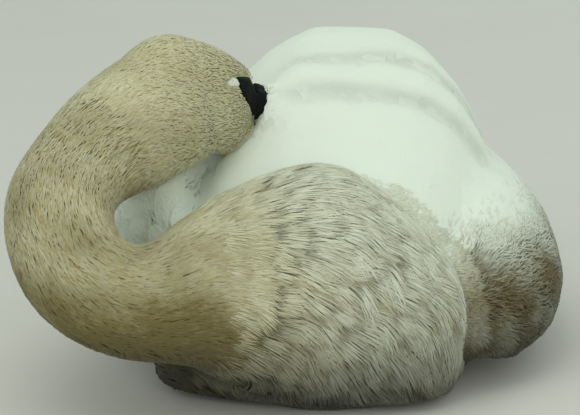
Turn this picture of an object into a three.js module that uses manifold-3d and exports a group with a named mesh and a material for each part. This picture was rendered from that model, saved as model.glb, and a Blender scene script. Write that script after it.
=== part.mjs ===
// A mute swan asleep on the ground, life size: millimetres, +Z up, the floor at Z = 0.
// The bird faces -Y and its left side is at +X. The neck leaves the breast to the bird's right,
// loops forward and up over the right shoulder, and the head lies on the back with the bill
// pushed into the back feathers. Every piece is the outer form of the plumage.
import * as THREE from 'three';
import { mergeVertices } from 'three/addons/utils/BufferGeometryUtils.js';
import Module from 'manifold-3d';

const wasm = await Module();
wasm.setup();

// ---------------------------------------------------------------- driving dimensions

const GAP = 0.3; // clearance that parts one piece from the next

const BODY_FRONT = -225; // the body behind the breast
const BODY_REAR = 358;
const BACK_TOP = 281; // highest point of the folded plumage above the floor
const BODY_HALF_WIDTH = 146;
const CREASES = [2, 46]; // where one tract of back feathers ends over the next, along Y
const CREASE_SLANT = 0.25; // the creases run further back on the bird's left
const TRACT_SWELL = 6;
const BILL_MOUND = 17; // the back feathers are pushed up over the bill
const MIDLINE_DIP = 5; // valley between the left and the right wing along the back

const NECK_RADIUS = 47; // feathered neck at the bend
const BREAST_RADIUS = 109;
const BREAST_DEPTH = 0.86; // its half depth as a share of its half height
const KEEL_HALF_WIDTH = 139;
const KEEL_HALF_DEPTH = 80;

const HEAD_LENGTH = 140; // nape to the feather edge at the bill, plumage fluffed
const HEAD_HALF_HEIGHT = 52;
const HEAD_HALF_WIDTH = 40;
const BILL_LENGTH = 80;
const LOWER_LENGTH = 74;
const BILL_HALF_WIDTH = 16;
const EYE_RADIUS = 6.4;
const CHIN_JUT = 8; // the feathered chin reaches this much further forward than the forehead

const WING_FRONT = -150;
const WING_REAR = 440;
const RIGHT_WING_LIFT = 38; // the bird leans to its left, so the right wing sits higher
const PRIMARY_ROOT = 290;
const PRIMARY_TIP = 470;
const TAIL_ROOT = 270;
const TAIL_TIP = 520;

const TARSUS_LENGTH = 100;
const TARSUS_RADIUS = 9;
const FOOT_THICKNESS = 7;
const TOES = [{ angle: -19, length: 110 }, { angle: 1, length: 133 }, { angle: 17, length: 123 }];
const WEB_SHARE = 0.7; // how far the web reaches along the toes

// ---------------------------------------------------------------- helpers

const V = (x, y, z) => new THREE.Vector3(x, y, z);
const rad = THREE.MathUtils.degToRad;
const KEEL_CENTRE = V(-8, -118, 0);
const MOUND_PLACE = V(-44, 2, 0);

// A smooth function through [place, value] pairs, level past both ends.
function smooth(pairs) {
  const last = pairs.length - 1;
  const slope = (i) => {
    const [x0, y0] = pairs[Math.max(i - 1, 0)];
    const [x1, y1] = pairs[Math.min(i + 1, last)];
    return (y1 - y0) / (x1 - x0);
  };
  return (x) => {
    if (x <= pairs[0][0]) return pairs[0][1];
    if (x >= pairs[last][0]) return pairs[last][1];
    const i = pairs.findIndex(([place]) => place > x) - 1;
    const width = pairs[i + 1][0] - pairs[i][0];
    const s = (x - pairs[i][0]) / width;
    const ease = s * s * (3 - 2 * s);
    const lead = s * (1 - s) * width * ((1 - s) * slope(i) - s * slope(i + 1));
    return pairs[i][1] * (1 - ease) + pairs[i + 1][1] * ease + lead;
  };
}

// A geometry as a solid, with only its positions kept and its faces turned outwards.
function solidOf(geometry) {
  const bare = geometry.clone();
  bare.deleteAttribute('normal');
  bare.deleteAttribute('uv');
  const merged = mergeVertices(bare, 1e-3);
  const vertProperties = Float32Array.from(merged.attributes.position.array);
  const triVerts = Uint32Array.from(merged.index.array);
  const corner = (i) => new THREE.Vector3().fromArray(vertProperties, triVerts[i] * 3);
  let volume = 0;
  for (let i = 0; i < triVerts.length; i += 3) {
    volume += corner(i).dot(corner(i + 1).cross(corner(i + 2)));
  }
  if (volume < 0) triVerts.reverse();
  return new wasm.Manifold(new wasm.Mesh({ numProp: 3, vertProperties, triVerts }));
}

// A closed body: a sphere of rings and sides whose points move to place(along 0..1, turn in radians,
// open). Each end is one point, so open, which scales every section, is 0 there and 1 elsewhere.
function loft(rings, sides, place) {
  const ball = new THREE.SphereGeometry(1, sides, rings);
  const { position, uv } = ball.attributes;
  for (let i = 0; i < position.count; i += 1) {
    const along = 1 - uv.getY(i);
    const open = along < 1e-6 || along > 1 - 1e-6 ? 0 : 1;
    const point = place(along, uv.getX(i) * 2 * Math.PI, open);
    position.setXYZ(i, point.x, point.y, point.z);
  }
  return solidOf(ball);
}

// The share of a section's size left near the ends of a lofted body: blunt and round.
const bluntEnd = (along) => Math.max(Math.sin(Math.PI * along), 0) ** 0.55;

// A rounded-square wave: |sin| or |cos| raised to 2 / power keeps the sign.
const rounded = (value, power) => Math.sign(value) * Math.abs(value) ** (2 / power);

// How far ring number along * rings is between two flat ends, which the first and last ring share
// with the end points.
const flatEnded = (along, rings) => THREE.MathUtils.clamp((along * rings - 1) / (rings - 2), 0, 1);

// A box between two corners, turned about Z.
function box(low, high, turn = 0) {
  const size = high.clone().sub(low);
  const geometry = new THREE.BoxGeometry(size.x, size.y, size.z);
  const middle = low.clone().add(high).multiplyScalar(0.5);
  return solidOf(geometry.translate(middle.x, middle.y, middle.z).rotateZ(turn));
}

const aboveFloor = box(V(-600, -600, 0), V(600, 800, 600));

// The biggest body of a solid, without the slivers that a cut can leave.
function main(solid) {
  const bodies = solid.decompose();
  bodies.sort((a, b) => b.volume() - a.volume());
  return bodies[0];
}

// ---------------------------------------------------------------- body behind the breast

const bodyHalfWidth = smooth([
  [-225, 105], [-140, 128], [-60, 142], [0, BODY_HALF_WIDTH], [60, 144], [110, 129],
  [150, 116], [200, 106], [260, 88], [320, 66], [358, 50],
]);
const bodyTop = smooth([
  [-225, 165], [-140, 203], [-60, 221], [0, 244], [48, 266], [95, BACK_TOP],
  [150, 272], [200, 257], [260, 232], [320, 202], [358, 186],
]);
const bodyBottom = smooth([
  [-225, 20], [-150, -9], [0, -11], [100, -11], [150, -8], [200, 6], [260, 40], [320, 84], [358, 110],
]);
const bodyWaist = smooth([[-225, 90], [0, 92], [95, 100], [200, 125], [260, 140], [358, 152]]);

// The power of the curve that the body's sections follow: 2 is round, more is squarer.
const SQUARENESS = { upperLeft: 2.2, upperRight: 2.1, lower: 3 };

// The bird leans to its left, so the belly there fills the corner above the floor behind the breast.
const leftFrontFullness = smooth([[-225, 5], [-30, 5], [60, 0]]);

// How far the feather tract at (x, y) swells over the creases at its two ends.
function tractSwell(x, along) {
  const y = along - CREASE_SLANT * x;
  const edges = [BODY_FRONT - GAP, ...CREASES, BODY_REAR + GAP];
  const i = Math.max(edges.findIndex((edge) => y <= edge), 1);
  const middle = (edges[i] + edges[i - 1]) / 2;
  const half = (edges[i] - edges[i - 1]) / 2;
  return TRACT_SWELL * (Math.sqrt(Math.max(1 - ((y - middle) / half) ** 4, 0)) - 0.6);
}

function bodyLoft(grow) {
  return loft(25, 24, (along, turn, open) => {
    const share = (1 - Math.cos(Math.PI * along)) / 2;
    const y = BODY_FRONT - grow + (BODY_REAR - BODY_FRONT + 2 * grow) * share;
    const end = bluntEnd(along);
    const up = Math.cos(turn);
    const side = Math.sin(turn);
    const waist = bodyWaist(y);
    const dip = MIDLINE_DIP * Math.exp(-((side / 0.12) ** 2)) * THREE.MathUtils.smoothstep(y, 20, 110);
    const above = side < 0 ? SQUARENESS.upperRight : SQUARENESS.upperLeft;
    const below = SQUARENESS.lower + leftFrontFullness(y) * Math.max(side, 0);
    const power = up > 0 ? above : below;
    const flank = bodyHalfWidth(y) * rounded(side, power);
    const swell = tractSwell(flank, y);
    const x = (flank + swell * side) * end + grow * side;
    const mound = BILL_MOUND * Math.exp(-((x - MOUND_PLACE.x) ** 2 + (y - MOUND_PLACE.y) ** 2) / 1200);
    const rise = bodyTop(y) + swell + mound - dip - waist;
    const drop = waist - bodyBottom(y);
    const z = ((up > 0 ? rise : drop) * end + grow) * rounded(up, power);
    return V(x * open, y, waist + z * open);
  });
}

// ---------------------------------------------------------------- breast and neck, one line

// From the breast's left side, across it to the bird's right, round the loop and up to the nape.
const neckLine = new THREE.CatmullRomCurve3([
  V(133, -105, 48), V(72, -126, 66), V(-9, -150, 105), V(-58, -178, 105), V(-99, -206, 109),
  V(-149, -226, 105), V(-196, -222, 130), V(-218, -188, 174), V(-204, -138, 204),
  V(-172, -95, 225), V(-132, -55, 243),
], false, 'centripetal');
neckLine.arcLengthDivisions = 400;

const neckRadius = smooth([
  [0, 92], [0.12, 99], [0.25, BREAST_RADIUS], [0.34, 94], [0.42, 68], [0.5, 50], [0.59, 48],
  [0.7, NECK_RADIUS], [0.8, 46], [0.88, 54], [0.94, 58], [1, 57],
]);
const CHORD = 800;
const BREAST_END = 0.42; // the shares of the line where one length gives way to the next
const NECK_CUTS = [BREAST_END, 0.6, 0.78, 1];

// The half depth as a share of the half height: the breast and the nape are flattened.
const neckDepth = smooth([[0.2, BREAST_DEPTH], [BREAST_END, 1], [0.8, 1], [1, 0.78]]);

// A section stands across the chord that spans it, so that wide sections don't run into each other.
function neckPoint(share, size, turn) {
  const centre = neckLine.getPointAt(share);
  const reach = neckRadius(share) / CHORD;
  const along = neckLine.getPointAt(Math.min(share + reach, 1))
    .sub(neckLine.getPointAt(Math.max(share - reach, 0))).normalize();
  const lateral = new THREE.Vector3().crossVectors(along, V(0, 1, 0)).normalize();
  const deep = new THREE.Vector3().crossVectors(lateral, along);
  return centre.addScaledVector(lateral, size * Math.cos(turn))
    .addScaledVector(deep, size * neckDepth(share) * Math.sin(turn));
}

// A length of the neck with flat ends.
function neckLength(from, to, rings, grow) {
  return loft(rings, 16, (along, turn, open) => {
    const place = from + (to - from) * flatEnded(along, rings);
    return neckPoint(place, open * (neckRadius(place) + grow), turn);
  });
}

// The breast is the wide start of the same line, round at its free end.
function breastLoft(to, grow) {
  const rings = 16;
  return loft(rings, 20, (along, turn, open) => {
    const share = Math.min(along * rings / (rings - 1), 1);
    const place = to * (1 - Math.cos(share * Math.PI / 2)) * 0.6 + to * share * 0.4;
    const round = Math.sqrt(1 - (1 - Math.min(place / 0.25, 1)) ** 2);
    return neckPoint(place, open * (neckRadius(place) * round + grow), turn);
  });
}

// The broad foot of the breast, which the bird rests on: rounded-square rings, one above the other.
const keelShare = smooth([[-10, 0.9], [0, 0.94], [30, 1], [60, 0.98], [90, 0.84], [112, 0.5]]);

function keelLoft(grow) {
  return loft(6, 20, (along, turn, open) => {
    const z = -10 - grow + (122 + 2 * grow) * along;
    const x = KEEL_CENTRE.x + open * (KEEL_HALF_WIDTH * keelShare(z) + grow) * rounded(Math.cos(turn), 3);
    const y = KEEL_CENTRE.y + open * (KEEL_HALF_DEPTH * keelShare(z) + grow) * rounded(Math.sin(turn), 3);
    return V(x, y, z);
  });
}

const breastForm = (to, grow) => breastLoft(to, grow).add(keelLoft(grow));

// ---------------------------------------------------------------- head and bill

const billAxis = V(0.83, 0.5, -0.24).normalize();
const headRight = new THREE.Vector3().crossVectors(billAxis, V(0.12, 0.05, 1)).normalize();
const headUp = new THREE.Vector3().crossVectors(headRight, billAxis).normalize();
const BILL_BASE = V(-75, -19, 237); // middle of the feather edge at the bill

// A place in the head: forward of the feather edge, to the bird's right, up.
const inHead = (forward, right, up) => BILL_BASE.clone()
  .addScaledVector(billAxis, forward).addScaledVector(headRight, right).addScaledVector(headUp, up);

const headHeight = smooth([
  [-140, 60], [-100, 58], [-67, HEAD_HALF_HEIGHT], [-37, 48], [-16, 43], [-6, 36], [0, 26],
]);
const headWidth = smooth([
  [-140, 50], [-100, 47], [-67, HEAD_HALF_WIDTH], [-37, 36], [-16, 28], [0, 16],
]);
const headCentre = smooth([[-140, -14], [-92, -8], [-52, -6], [-16, -11], [-6, -10], [0, -5]]);

function headLoft(grow) {
  const rings = 13;
  return loft(rings, 16, (along, turn, open) => {
    const share = Math.min(along * rings / (rings - 1), 1);
    const forward = -HEAD_LENGTH - grow + (HEAD_LENGTH + 2 * grow) * Math.sin(share * Math.PI / 2) ** 1.4;
    const fromNape = THREE.MathUtils.clamp((forward + HEAD_LENGTH + grow) / 60, 0, 1);
    const round = Math.sin(fromNape * Math.PI / 2) ** 0.6;
    const high = open * (headHeight(forward) * round + grow);
    const wide = open * (headWidth(forward) * round + grow);
    const atChin = THREE.MathUtils.smoothstep(forward, -50, -5);
    const jut = open * CHIN_JUT * Math.max(-Math.cos(turn), 0) * atChin;
    return inHead(forward + jut, wide * Math.sin(turn), headCentre(forward) + high * Math.cos(turn));
  });
}

// One half of the bill: its middle height, half height and half width along its length.
function billLoft(from, to, { middle, high, wide }, rings, grow) {
  return loft(rings, 10, (along, turn, open) => {
    const forward = from - grow + (to - from + 2 * grow) * flatEnded(along, rings);
    const up = open * (high(forward) + grow) * rounded(Math.cos(turn), 2.4);
    const right = open * (wide(forward) + grow) * rounded(Math.sin(turn), 2.4);
    return inHead(forward, right, middle(forward) + up);
  });
}

const UPPER = {
  middle: smooth([[-16, -2], [0, -2], [20, -2.5], [45, -6], [66, -8], [BILL_LENGTH, -10]]),
  high: smooth([[-16, 14], [0, 16.5], [20, 12.5], [45, 8], [66, 5], [BILL_LENGTH, 2]]),
  wide: smooth([[-16, 10], [0, BILL_HALF_WIDTH], [30, 14.5], [58, 16.5], [72, 13], [BILL_LENGTH, 5]]),
};
const LOWER = {
  middle: smooth([[-16, -21], [0, -22], [20, -19.6], [45, -17.6], [LOWER_LENGTH, -13.9]]),
  high: smooth([[-16, 3], [0, 3.6], [20, 3], [45, 2.4], [LOWER_LENGTH, 1.2]]),
  wide: smooth([[-16, 8], [0, 12], [30, 11.5], [58, 13], [LOWER_LENGTH, 7]]),
};
const BASE_DEPTH = 13; // the black band at the foot of the bill
const NAIL_FROM = 68;

function upperBill(from, to, rings, grow) {
  return billLoft(from, to, UPPER, rings, grow);
}

const lowerBill = (grow) => billLoft(GAP, LOWER_LENGTH, LOWER, 7, grow);

function knobBall(grow) {
  const knob = new THREE.SphereGeometry(1, 10, 6);
  knob.scale(8 + grow, 7 + grow, 5.5 + grow);
  const turn = new THREE.Matrix4().makeBasis(billAxis, headRight.clone().negate(), headUp);
  turn.setPosition(inHead(5, 0, 11.5));
  return solidOf(knob.applyMatrix4(turn));
}

// A wedge through the side of the head, from the bill to the eye: the bare skin in front of the eye.
function loreWedge(side, grow) {
  const outline = new THREE.Shape(
    [[8, 23], [-31, 22], [-28, 13], [-9, -3], [6, -20], [8, -20]].map(([forward, up]) => new THREE.Vector2(
      forward < 0 ? forward - grow : forward,
      up > 20 ? up + grow : up - grow,
    )),
  );
  const wedge = new THREE.ExtrudeGeometry(outline, { depth: 60, bevelEnabled: false });
  const outward = headRight.clone().multiplyScalar(side);
  const start = inHead(0, side * (13 - grow), 0);
  const turn = new THREE.Matrix4().makeBasis(billAxis, headUp, outward).setPosition(start);
  return solidOf(wedge.applyMatrix4(turn));
}

const EYE_PLACE = { forward: -31, right: 23, up: 16 };

function eyeBall(side, grow) {
  const ball = new THREE.SphereGeometry(EYE_RADIUS + grow, 10, 6);
  const place = inHead(EYE_PLACE.forward, side * EYE_PLACE.right, EYE_PLACE.up);
  return solidOf(ball.translate(place.x, place.y, place.z));
}

// ---------------------------------------------------------------- wings, primaries and tail

// A lofted body whose sections stand across Y: middle, half height, half thickness, lean inwards.
function leafLoft(side, from, to, shape, rings, sides, grow) {
  return loft(rings, sides, (along, turn, open) => {
    const y = from - grow + (to - from + 2 * grow) * (1 - Math.cos(Math.PI * along)) / 2;
    const end = bluntEnd(along);
    const high = open * (shape.high(y) * end + grow) * Math.cos(turn);
    const thick = open * (shape.thick(y) * end + grow) * Math.sin(turn);
    const lean = rad(shape.lean(y));
    const x = shape.x(y) + thick * Math.cos(lean) - high * Math.sin(lean);
    const z = shape.z(y) + thick * Math.sin(lean) + high * Math.cos(lean);
    return V(side * x, y, z);
  });
}

const LEFT_WING = {
  x: smooth([[WING_FRONT, 112], [-90, 144], [-20, 155], [80, 142], [200, 98], [330, 56], [WING_REAR, 32]]),
  z: smooth([[WING_FRONT, 72], [-90, 79], [-20, 95], [80, 106], [200, 120], [330, 136], [WING_REAR, 134]]),
  high: smooth([[WING_FRONT, 62], [-90, 80], [-20, 85], [80, 80], [200, 66], [330, 46], [WING_REAR, 24]]),
  thick: smooth([[WING_FRONT, 30], [-90, 44], [-20, 48], [80, 43], [200, 32], [330, 20], [WING_REAR, 9]]),
  lean: smooth([[WING_FRONT, 22], [-90, 26], [-20, 30], [80, 36], [200, 46], [330, 58], [WING_REAR, 66]]),
};

// Where along the bird the right wing's lift shows.
const raised = smooth([[WING_FRONT, 0.6], [-60, 1], [80, 0.6], [240, 0]]);

const RIGHT_WING = {
  ...LEFT_WING,
  x: (y) => LEFT_WING.x(y) + 7 * raised(y),
  z: (y) => LEFT_WING.z(y) + RIGHT_WING_LIFT * raised(y),
  lean: (y) => LEFT_WING.lean(y) - 14 * raised(y),
};

// The folded primaries lie over the rump and cross above the tail, the left ones on top.
function primaries(side, grow) {
  const layer = side > 0 ? 7 : -7;
  const height = smooth([[PRIMARY_ROOT, 158], [370, 150], [430, 138], [PRIMARY_TIP, 130]]);
  return leafLoft(side, PRIMARY_ROOT, PRIMARY_TIP, {
    x: smooth([[PRIMARY_ROOT, 34], [370, 24], [430, 6], [PRIMARY_TIP, -8]]),
    z: (y) => height(y) + layer,
    high: smooth([[PRIMARY_ROOT, 36], [370, 30], [430, 20], [PRIMARY_TIP, 10]]),
    thick: smooth([[PRIMARY_ROOT, 11], [370, 8], [430, 5.5], [PRIMARY_TIP, 3]]),
    lean: () => 86,
  }, 9, 10, grow);
}

function tailLoft(grow) {
  return leafLoft(1, TAIL_ROOT, TAIL_TIP, {
    x: () => 0,
    z: smooth([[TAIL_ROOT, 118], [380, 104], [460, 97], [TAIL_TIP, 96]]),
    high: smooth([[TAIL_ROOT, 62], [360, 80], [430, 74], [490, 44], [TAIL_TIP, 16]]),
    thick: smooth([[TAIL_ROOT, 34], [360, 20], [430, 11], [490, 5], [TAIL_TIP, 3]]),
    lean: () => 90,
  }, 8, 12, grow);
}

// ---------------------------------------------------------------- legs, tucked under the belly

const LEG_X = 52;
const TOE_ROOT_Y = 105;
const HEEL = 14;
const HOCK_HEIGHT = 21;
const TOE_EDGE = 1.5; // the foot's edge is bevelled by this much

function capsuleBetween(start, end, radius) {
  const span = end.clone().sub(start);
  const bar = new THREE.CapsuleGeometry(radius, span.length(), 2, 8);
  const turn = new THREE.Quaternion().setFromUnitVectors(V(0, 1, 0), span.clone().normalize());
  bar.applyQuaternion(turn).translate(...start.clone().add(end).multiplyScalar(0.5).toArray());
  return solidOf(bar);
}

function legBar(side, grow) {
  const ankle = V(side * LEG_X, TOE_ROOT_Y + 10, FOOT_THICKNESS + GAP + TARSUS_RADIUS);
  const hock = V(side * (LEG_X - 8), TOE_ROOT_Y + TARSUS_LENGTH, HOCK_HEIGHT);
  return capsuleBetween(hock, ankle, TARSUS_RADIUS + grow);
}

// Three front toes that end in claws, and the web that hangs back between them.
function footPlate(side, grow) {
  const reach = (angle, length) => new THREE.Vector2(
    side * (LEG_X + Math.sin(rad(angle)) * length),
    TOE_ROOT_Y - Math.cos(rad(angle)) * length,
  );
  const tips = TOES.map(({ angle, length }) => reach(angle, length));
  const outline = new THREE.Shape([reach(-125, HEEL), tips[0]]);
  TOES.slice(1).forEach(({ angle, length }, n) => {
    const web = reach((angle + TOES[n].angle) / 2, length * WEB_SHARE);
    outline.quadraticCurveTo(web.x, web.y, tips[n + 1].x, tips[n + 1].y);
  });
  outline.lineTo(...reach(125, HEEL).toArray());
  const foot = new THREE.ExtrudeGeometry(outline, {
    depth: FOOT_THICKNESS + 2 * grow - 2 * TOE_EDGE,
    bevelThickness: TOE_EDGE,
    bevelSize: TOE_EDGE,
    bevelOffset: grow,
    bevelSegments: 1,
    curveSegments: 4,
  });
  return solidOf(foot.translate(0, 0, TOE_EDGE - grow));
}

// The room among the belly feathers that the foot and the leg lie in.
const legPocket = (side) => footPlate(side, GAP).add(legBar(side, GAP));

// ---------------------------------------------------------------- parting the whole into pieces

const wholeBody = bodyLoft(0);
const head = headLoft(0);
const headClear = headLoft(GAP);
const breastClear = breastForm(BREAST_END, GAP);
const neckClear = neckLength(BREAST_END - 0.02, 1, 22, GAP);
const billClear = upperBill(-0.2, BILL_LENGTH, 12, 2 * GAP).add(lowerBill(2 * GAP)).add(knobBall(2 * GAP));
const frontClear = breastClear.add(neckClear).add(headClear).add(billClear);

const body = [1, -1].reduce(
  (rest, side) => rest.subtract(legPocket(side)),
  wholeBody.subtract(frontClear).intersect(aboveFloor),
);
const bodyClear = bodyLoft(GAP);

// The back's upper plumage parts from the trunk at this level, and into tracts at the creases.
const TRACT_LEVEL = 150;
const far = 600;
const slant = Math.atan(CREASE_SLANT);
const slice = (x0, x1, y0, y1, z0, z1) => box(V(x0, y0, z0), V(x1, y1, z1));
const slantedSlice = (y0, y1) => box(
  V(-far, y0 * Math.cos(slant), 0),
  V(far, y1 * Math.cos(slant), far),
  slant,
);
const half = GAP / 2;
const upperPiece = (x0, x1, y0, y1) => main(
  body.intersect(slice(x0, x1, -far, far, TRACT_LEVEL + half, far)).intersect(slantedSlice(y0, y1)),
);

const breast = breastForm(BREAST_END - 0.001, 0).intersect(aboveFloor);
const neck = NECK_CUTS.slice(1).map((to, n) => neckLength(NECK_CUTS[n] + 0.0005, to - 0.0005, 9, 0));
const breastFree = neck[0].subtract(breastClear);
const neckUpper = neck[2].subtract(headClear);

const eyes = [1, -1].map((side) => eyeBall(side, 0));
const lores = [1, -1].map((side, n) => head.intersect(loreWedge(side, 0)).subtract(eyeBall(side, GAP)));
const bareHead = [1, -1].reduce(
  (rest, side) => rest.subtract(loreWedge(side, GAP)).subtract(eyeBall(side, GAP)),
  head,
);

function wing(side, shape) {
  const pod = leafLoft(side, WING_FRONT, WING_REAR, shape, 14, 14, 0);
  return main(pod.subtract(bodyClear).subtract(frontClear).intersect(aboveFloor));
}

const wings = { left: wing(1, LEFT_WING), right: wing(-1, RIGHT_WING) };
const wingRoom = leafLoft(1, WING_FRONT, WING_REAR, LEFT_WING, 14, 14, GAP)
  .add(leafLoft(-1, WING_FRONT, WING_REAR, RIGHT_WING, 14, 14, GAP));
const leftPrimaries = primaries(1, 0).subtract(bodyClear).subtract(wingRoom);
const rightPrimaries = primaries(-1, 0).subtract(primaries(1, GAP)).subtract(bodyClear).subtract(wingRoom);
const tail = tailLoft(0).subtract(bodyClear).subtract(wingRoom)
  .subtract(primaries(1, GAP)).subtract(primaries(-1, GAP));

const billBase = upperBill(GAP, BASE_DEPTH, 4, 0).add(knobBall(0))
  .subtract(lowerBill(GAP)).subtract(headClear);
const billUpper = upperBill(BASE_DEPTH + GAP, NAIL_FROM - GAP, 7, 0)
  .subtract(knobBall(GAP)).subtract(lowerBill(GAP));
const billNail = upperBill(NAIL_FROM, BILL_LENGTH, 5, 0).subtract(lowerBill(GAP));

// ---------------------------------------------------------------- the named pieces

const finish = (color, roughness) => new THREE.MeshStandardMaterial({ color, roughness, metalness: 0 });
const WHITE = finish(0xdfe4dc, 0.8);
const STAINED = finish(0xc4b492, 0.85);
const BREAST_WHITE = finish(0xcfc8b6, 0.85);
const BLACK_SKIN = finish(0x0c0f10, 0.5);
const ORANGE_BILL = finish(0xd2622a, 0.4);
const LID = finish(0xd8dad2, 0.6);
const LEG_SKIN = finish(0x202224, 0.6);

const swan = new THREE.Group();

function add(name, solid, material) {
  const mesh = main(solid).getMesh();
  const geometry = new THREE.BufferGeometry();
  geometry.setAttribute('position', new THREE.BufferAttribute(Float32Array.from(mesh.vertProperties), 3));
  geometry.setIndex(Array.from(mesh.triVerts));
  geometry.computeVertexNormals();
  const piece = new THREE.Mesh(geometry, material);
  piece.name = name;
  swan.add(piece);
}

add('trunk', body.intersect(slice(-far, far, -far, far, 0, TRACT_LEVEL - half)), WHITE);
add('mantle', upperPiece(-far, far, -far, CREASES[0] - half), WHITE);
add('scapulars_left', upperPiece(half, far, CREASES[0] + half, CREASES[1] - half), WHITE);
add('scapulars_right', upperPiece(-far, -half, CREASES[0] + half, CREASES[1] - half), WHITE);
add('tertials_left', upperPiece(half, far, CREASES[1] + half, far), WHITE);
add('tertials_right', upperPiece(-far, -half, CREASES[1] + half, far), WHITE);
add('wing_left', wings.left, WHITE);
add('wing_right', wings.right, WHITE);
add('primaries_left', leftPrimaries, WHITE);
add('primaries_right', rightPrimaries, WHITE);
add('tail', tail, WHITE);
add('breast', breast, BREAST_WHITE);
add('neck_lower', breastFree, STAINED);
add('neck_middle', neck[1], STAINED);
add('neck_upper', neckUpper, STAINED);
add('head', bareHead, STAINED);
add('eye_right', eyes[0], LID);
add('eye_left', eyes[1], LID);
add('lore_right', lores[0], BLACK_SKIN);
add('lore_left', lores[1], BLACK_SKIN);
add('bill_base', billBase, BLACK_SKIN);
add('bill_upper', billUpper, ORANGE_BILL);
add('bill_nail', billNail, BLACK_SKIN);
add('bill_lower', lowerBill(0).subtract(headClear), BLACK_SKIN);
[1, -1].forEach((side) => {
  const name = side > 0 ? 'left' : 'right';
  add(`foot_${name}`, footPlate(side, 0), LEG_SKIN);
  add(`leg_${name}`, legBar(side, 0), LEG_SKIN);
});

export default swan;
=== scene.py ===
"""A mute swan asleep on the ground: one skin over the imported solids, and its plumage in solid mesh."""

import math

import bpy
import numpy as np
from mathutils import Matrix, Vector
from mathutils.bvhtree import BVHTree


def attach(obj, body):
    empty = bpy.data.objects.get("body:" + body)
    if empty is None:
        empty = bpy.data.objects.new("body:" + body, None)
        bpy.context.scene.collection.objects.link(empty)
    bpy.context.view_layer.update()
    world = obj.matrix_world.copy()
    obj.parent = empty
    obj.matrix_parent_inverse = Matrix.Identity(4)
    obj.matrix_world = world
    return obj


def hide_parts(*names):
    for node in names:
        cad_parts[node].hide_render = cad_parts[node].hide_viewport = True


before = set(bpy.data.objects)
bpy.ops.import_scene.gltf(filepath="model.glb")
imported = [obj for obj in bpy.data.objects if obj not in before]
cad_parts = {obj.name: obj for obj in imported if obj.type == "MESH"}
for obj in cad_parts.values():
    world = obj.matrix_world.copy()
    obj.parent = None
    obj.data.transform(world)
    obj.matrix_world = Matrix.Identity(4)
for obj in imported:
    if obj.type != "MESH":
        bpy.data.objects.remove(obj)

bl_info = {
    "name": "Sleeping mute swan",
    "version": (1, 0, 0),
    "blender": (4, 5, 0),
    "location": "View3D > Sidebar > Swan",
    "description": "Dresses the solids of a sleeping swan in skin, bill and feathers",
    "category": "Object",
}

MM = 0.001  # everything below is worked out in millimetres, and made in metres
PIECE_LIMIT = 190_000  # triangles in one piece of plumage
PATCH = 0.003  # the side of each feather's patch on the skin's unwrap

NECK_NODES = ("neck_lower", "neck_middle", "neck_upper")
HEAD_NODES = ("head", "lore_left", "lore_right", "eye_left", "eye_right")
BODY_NODES = (
    "trunk", "mantle", "scapulars_left", "scapulars_right",
    "tertials_left", "tertials_right", "wing_left", "wing_right",
)
FLESH_NODES = ("breast", "head") + NECK_NODES + BODY_NODES

# ------------------------------------------------------------------ the bird's own measures

BILL_BASE = np.array((-75.0, -19.0, 237.0))  # the middle of the feather edge behind the bill
NECK_LINE = (  # the middle of breast and neck, from the breast to the nape
    (133, -105, 48), (72, -126, 66), (-9, -150, 105), (-58, -178, 105), (-99, -206, 109),
    (-149, -226, 105), (-196, -222, 130), (-218, -188, 174), (-204, -138, 204),
    (-172, -95, 225), (-132, -55, 243),
)
LORE_OUTLINE = (  # round the bare skin before the eye, forward and up from the feather edge
    (3, 24), (-27, 24), (-34, 23), (-32, 20.5), (-25, 17), (-20, 9.5), (-8.7, -1.2), (2, -13.5),
    (8, -19.5), (14, -23), (14, 0), (9, 24),
)
EYE = np.array((-31.0, 23.0, 16.0))  # forward, to the right and up in the head
LID_FORWARD, LID_UP = -33.4, 15.4
LID_HALF_LENGTH, LID_HALF_HEIGHT = 9.2, 7.0
EYE_RADIUS = 6.4
BLACK_REACH = 20.0  # the black of the bill's foot runs this far out over the horn
FOLDS = (2.0, 46.0)  # where the two soft folds cross the middle of the back
FOLD_SLANT = 0.25
FOLD_HEIGHT = 4.2
FLOOR = 0.3  # no feather reaches lower than this

# Millimetres between the roots of neighbouring feathers.
HEAD_SPACING = 1.45
NECK_SPACING = 1.9
BREAST_SPACING = 15.5
FRINGE_SPACING = 5.0
BACK_SPACING = 11.0
BREAST_EDGE_SPACING = 4.5
FLANK_SPACING = 2.4
BELLY_SPACING = 11.0

TERTIALS = 13  # on each side
PRIMARIES = 10  # on each side
TAIL_QUILLS = 22
STRAY_LIMIT = 5.5  # a vane bent further than this off its form is left out
# rims: painted shade along the rims and tips of each quill.
QUILL_LOOK = {"streaks": 0.2, "root_shadow": 0.1, "barbs": 0.35, "rims": 0.22}

# Heights between which the stain of the flank, and the stain and painted shade of the band beside the
# breast, fade out.
FLANK_STAIN_TOP, FLANK_STAIN_FULL = 154, 66
EDGE_STAIN_AND_SHADE_TOP, EDGE_STAIN_AND_SHADE_FULL = 158, 100

CAMERA_AZIMUTH, CAMERA_ELEVATION = math.radians(8), math.radians(16)
CAMERA_AWAY = 3.3  # metres
CAMERA_AIM = (-0.041, 0.0, 0.131)
SENSOR_WIDTH = 36
PICTURE_WIDTH = 580  # pixels
LENS_IN_PIXELS = 3600  # the lens's focal length in pixels of that picture
LIGHT_AIM = (-0.04, 0.0, 0.12)
LIGHTS = (  # name, place and size in metres, watts, tint as seen
    ("overhead", (-0.35, -0.5, 1.9), 1.5, 7.5, (255, 252, 244)),
    ("front_right", (0.9, -2.5, 0.9), 1.8, 18.5, (255, 252, 244)),
    ("behind", (0.9, 2.0, 1.5), 1.4, 5.0, (238, 250, 244)),
)
ROOM_LIGHT = 0.84
FLOOR_SIZE = 12  # metres


def unit(rows):
    """Vectors scaled to length one, along the last axis."""
    rows = np.asarray(rows, float)
    return rows / np.maximum(np.linalg.norm(rows, axis=-1, keepdims=True), 1e-9)


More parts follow.
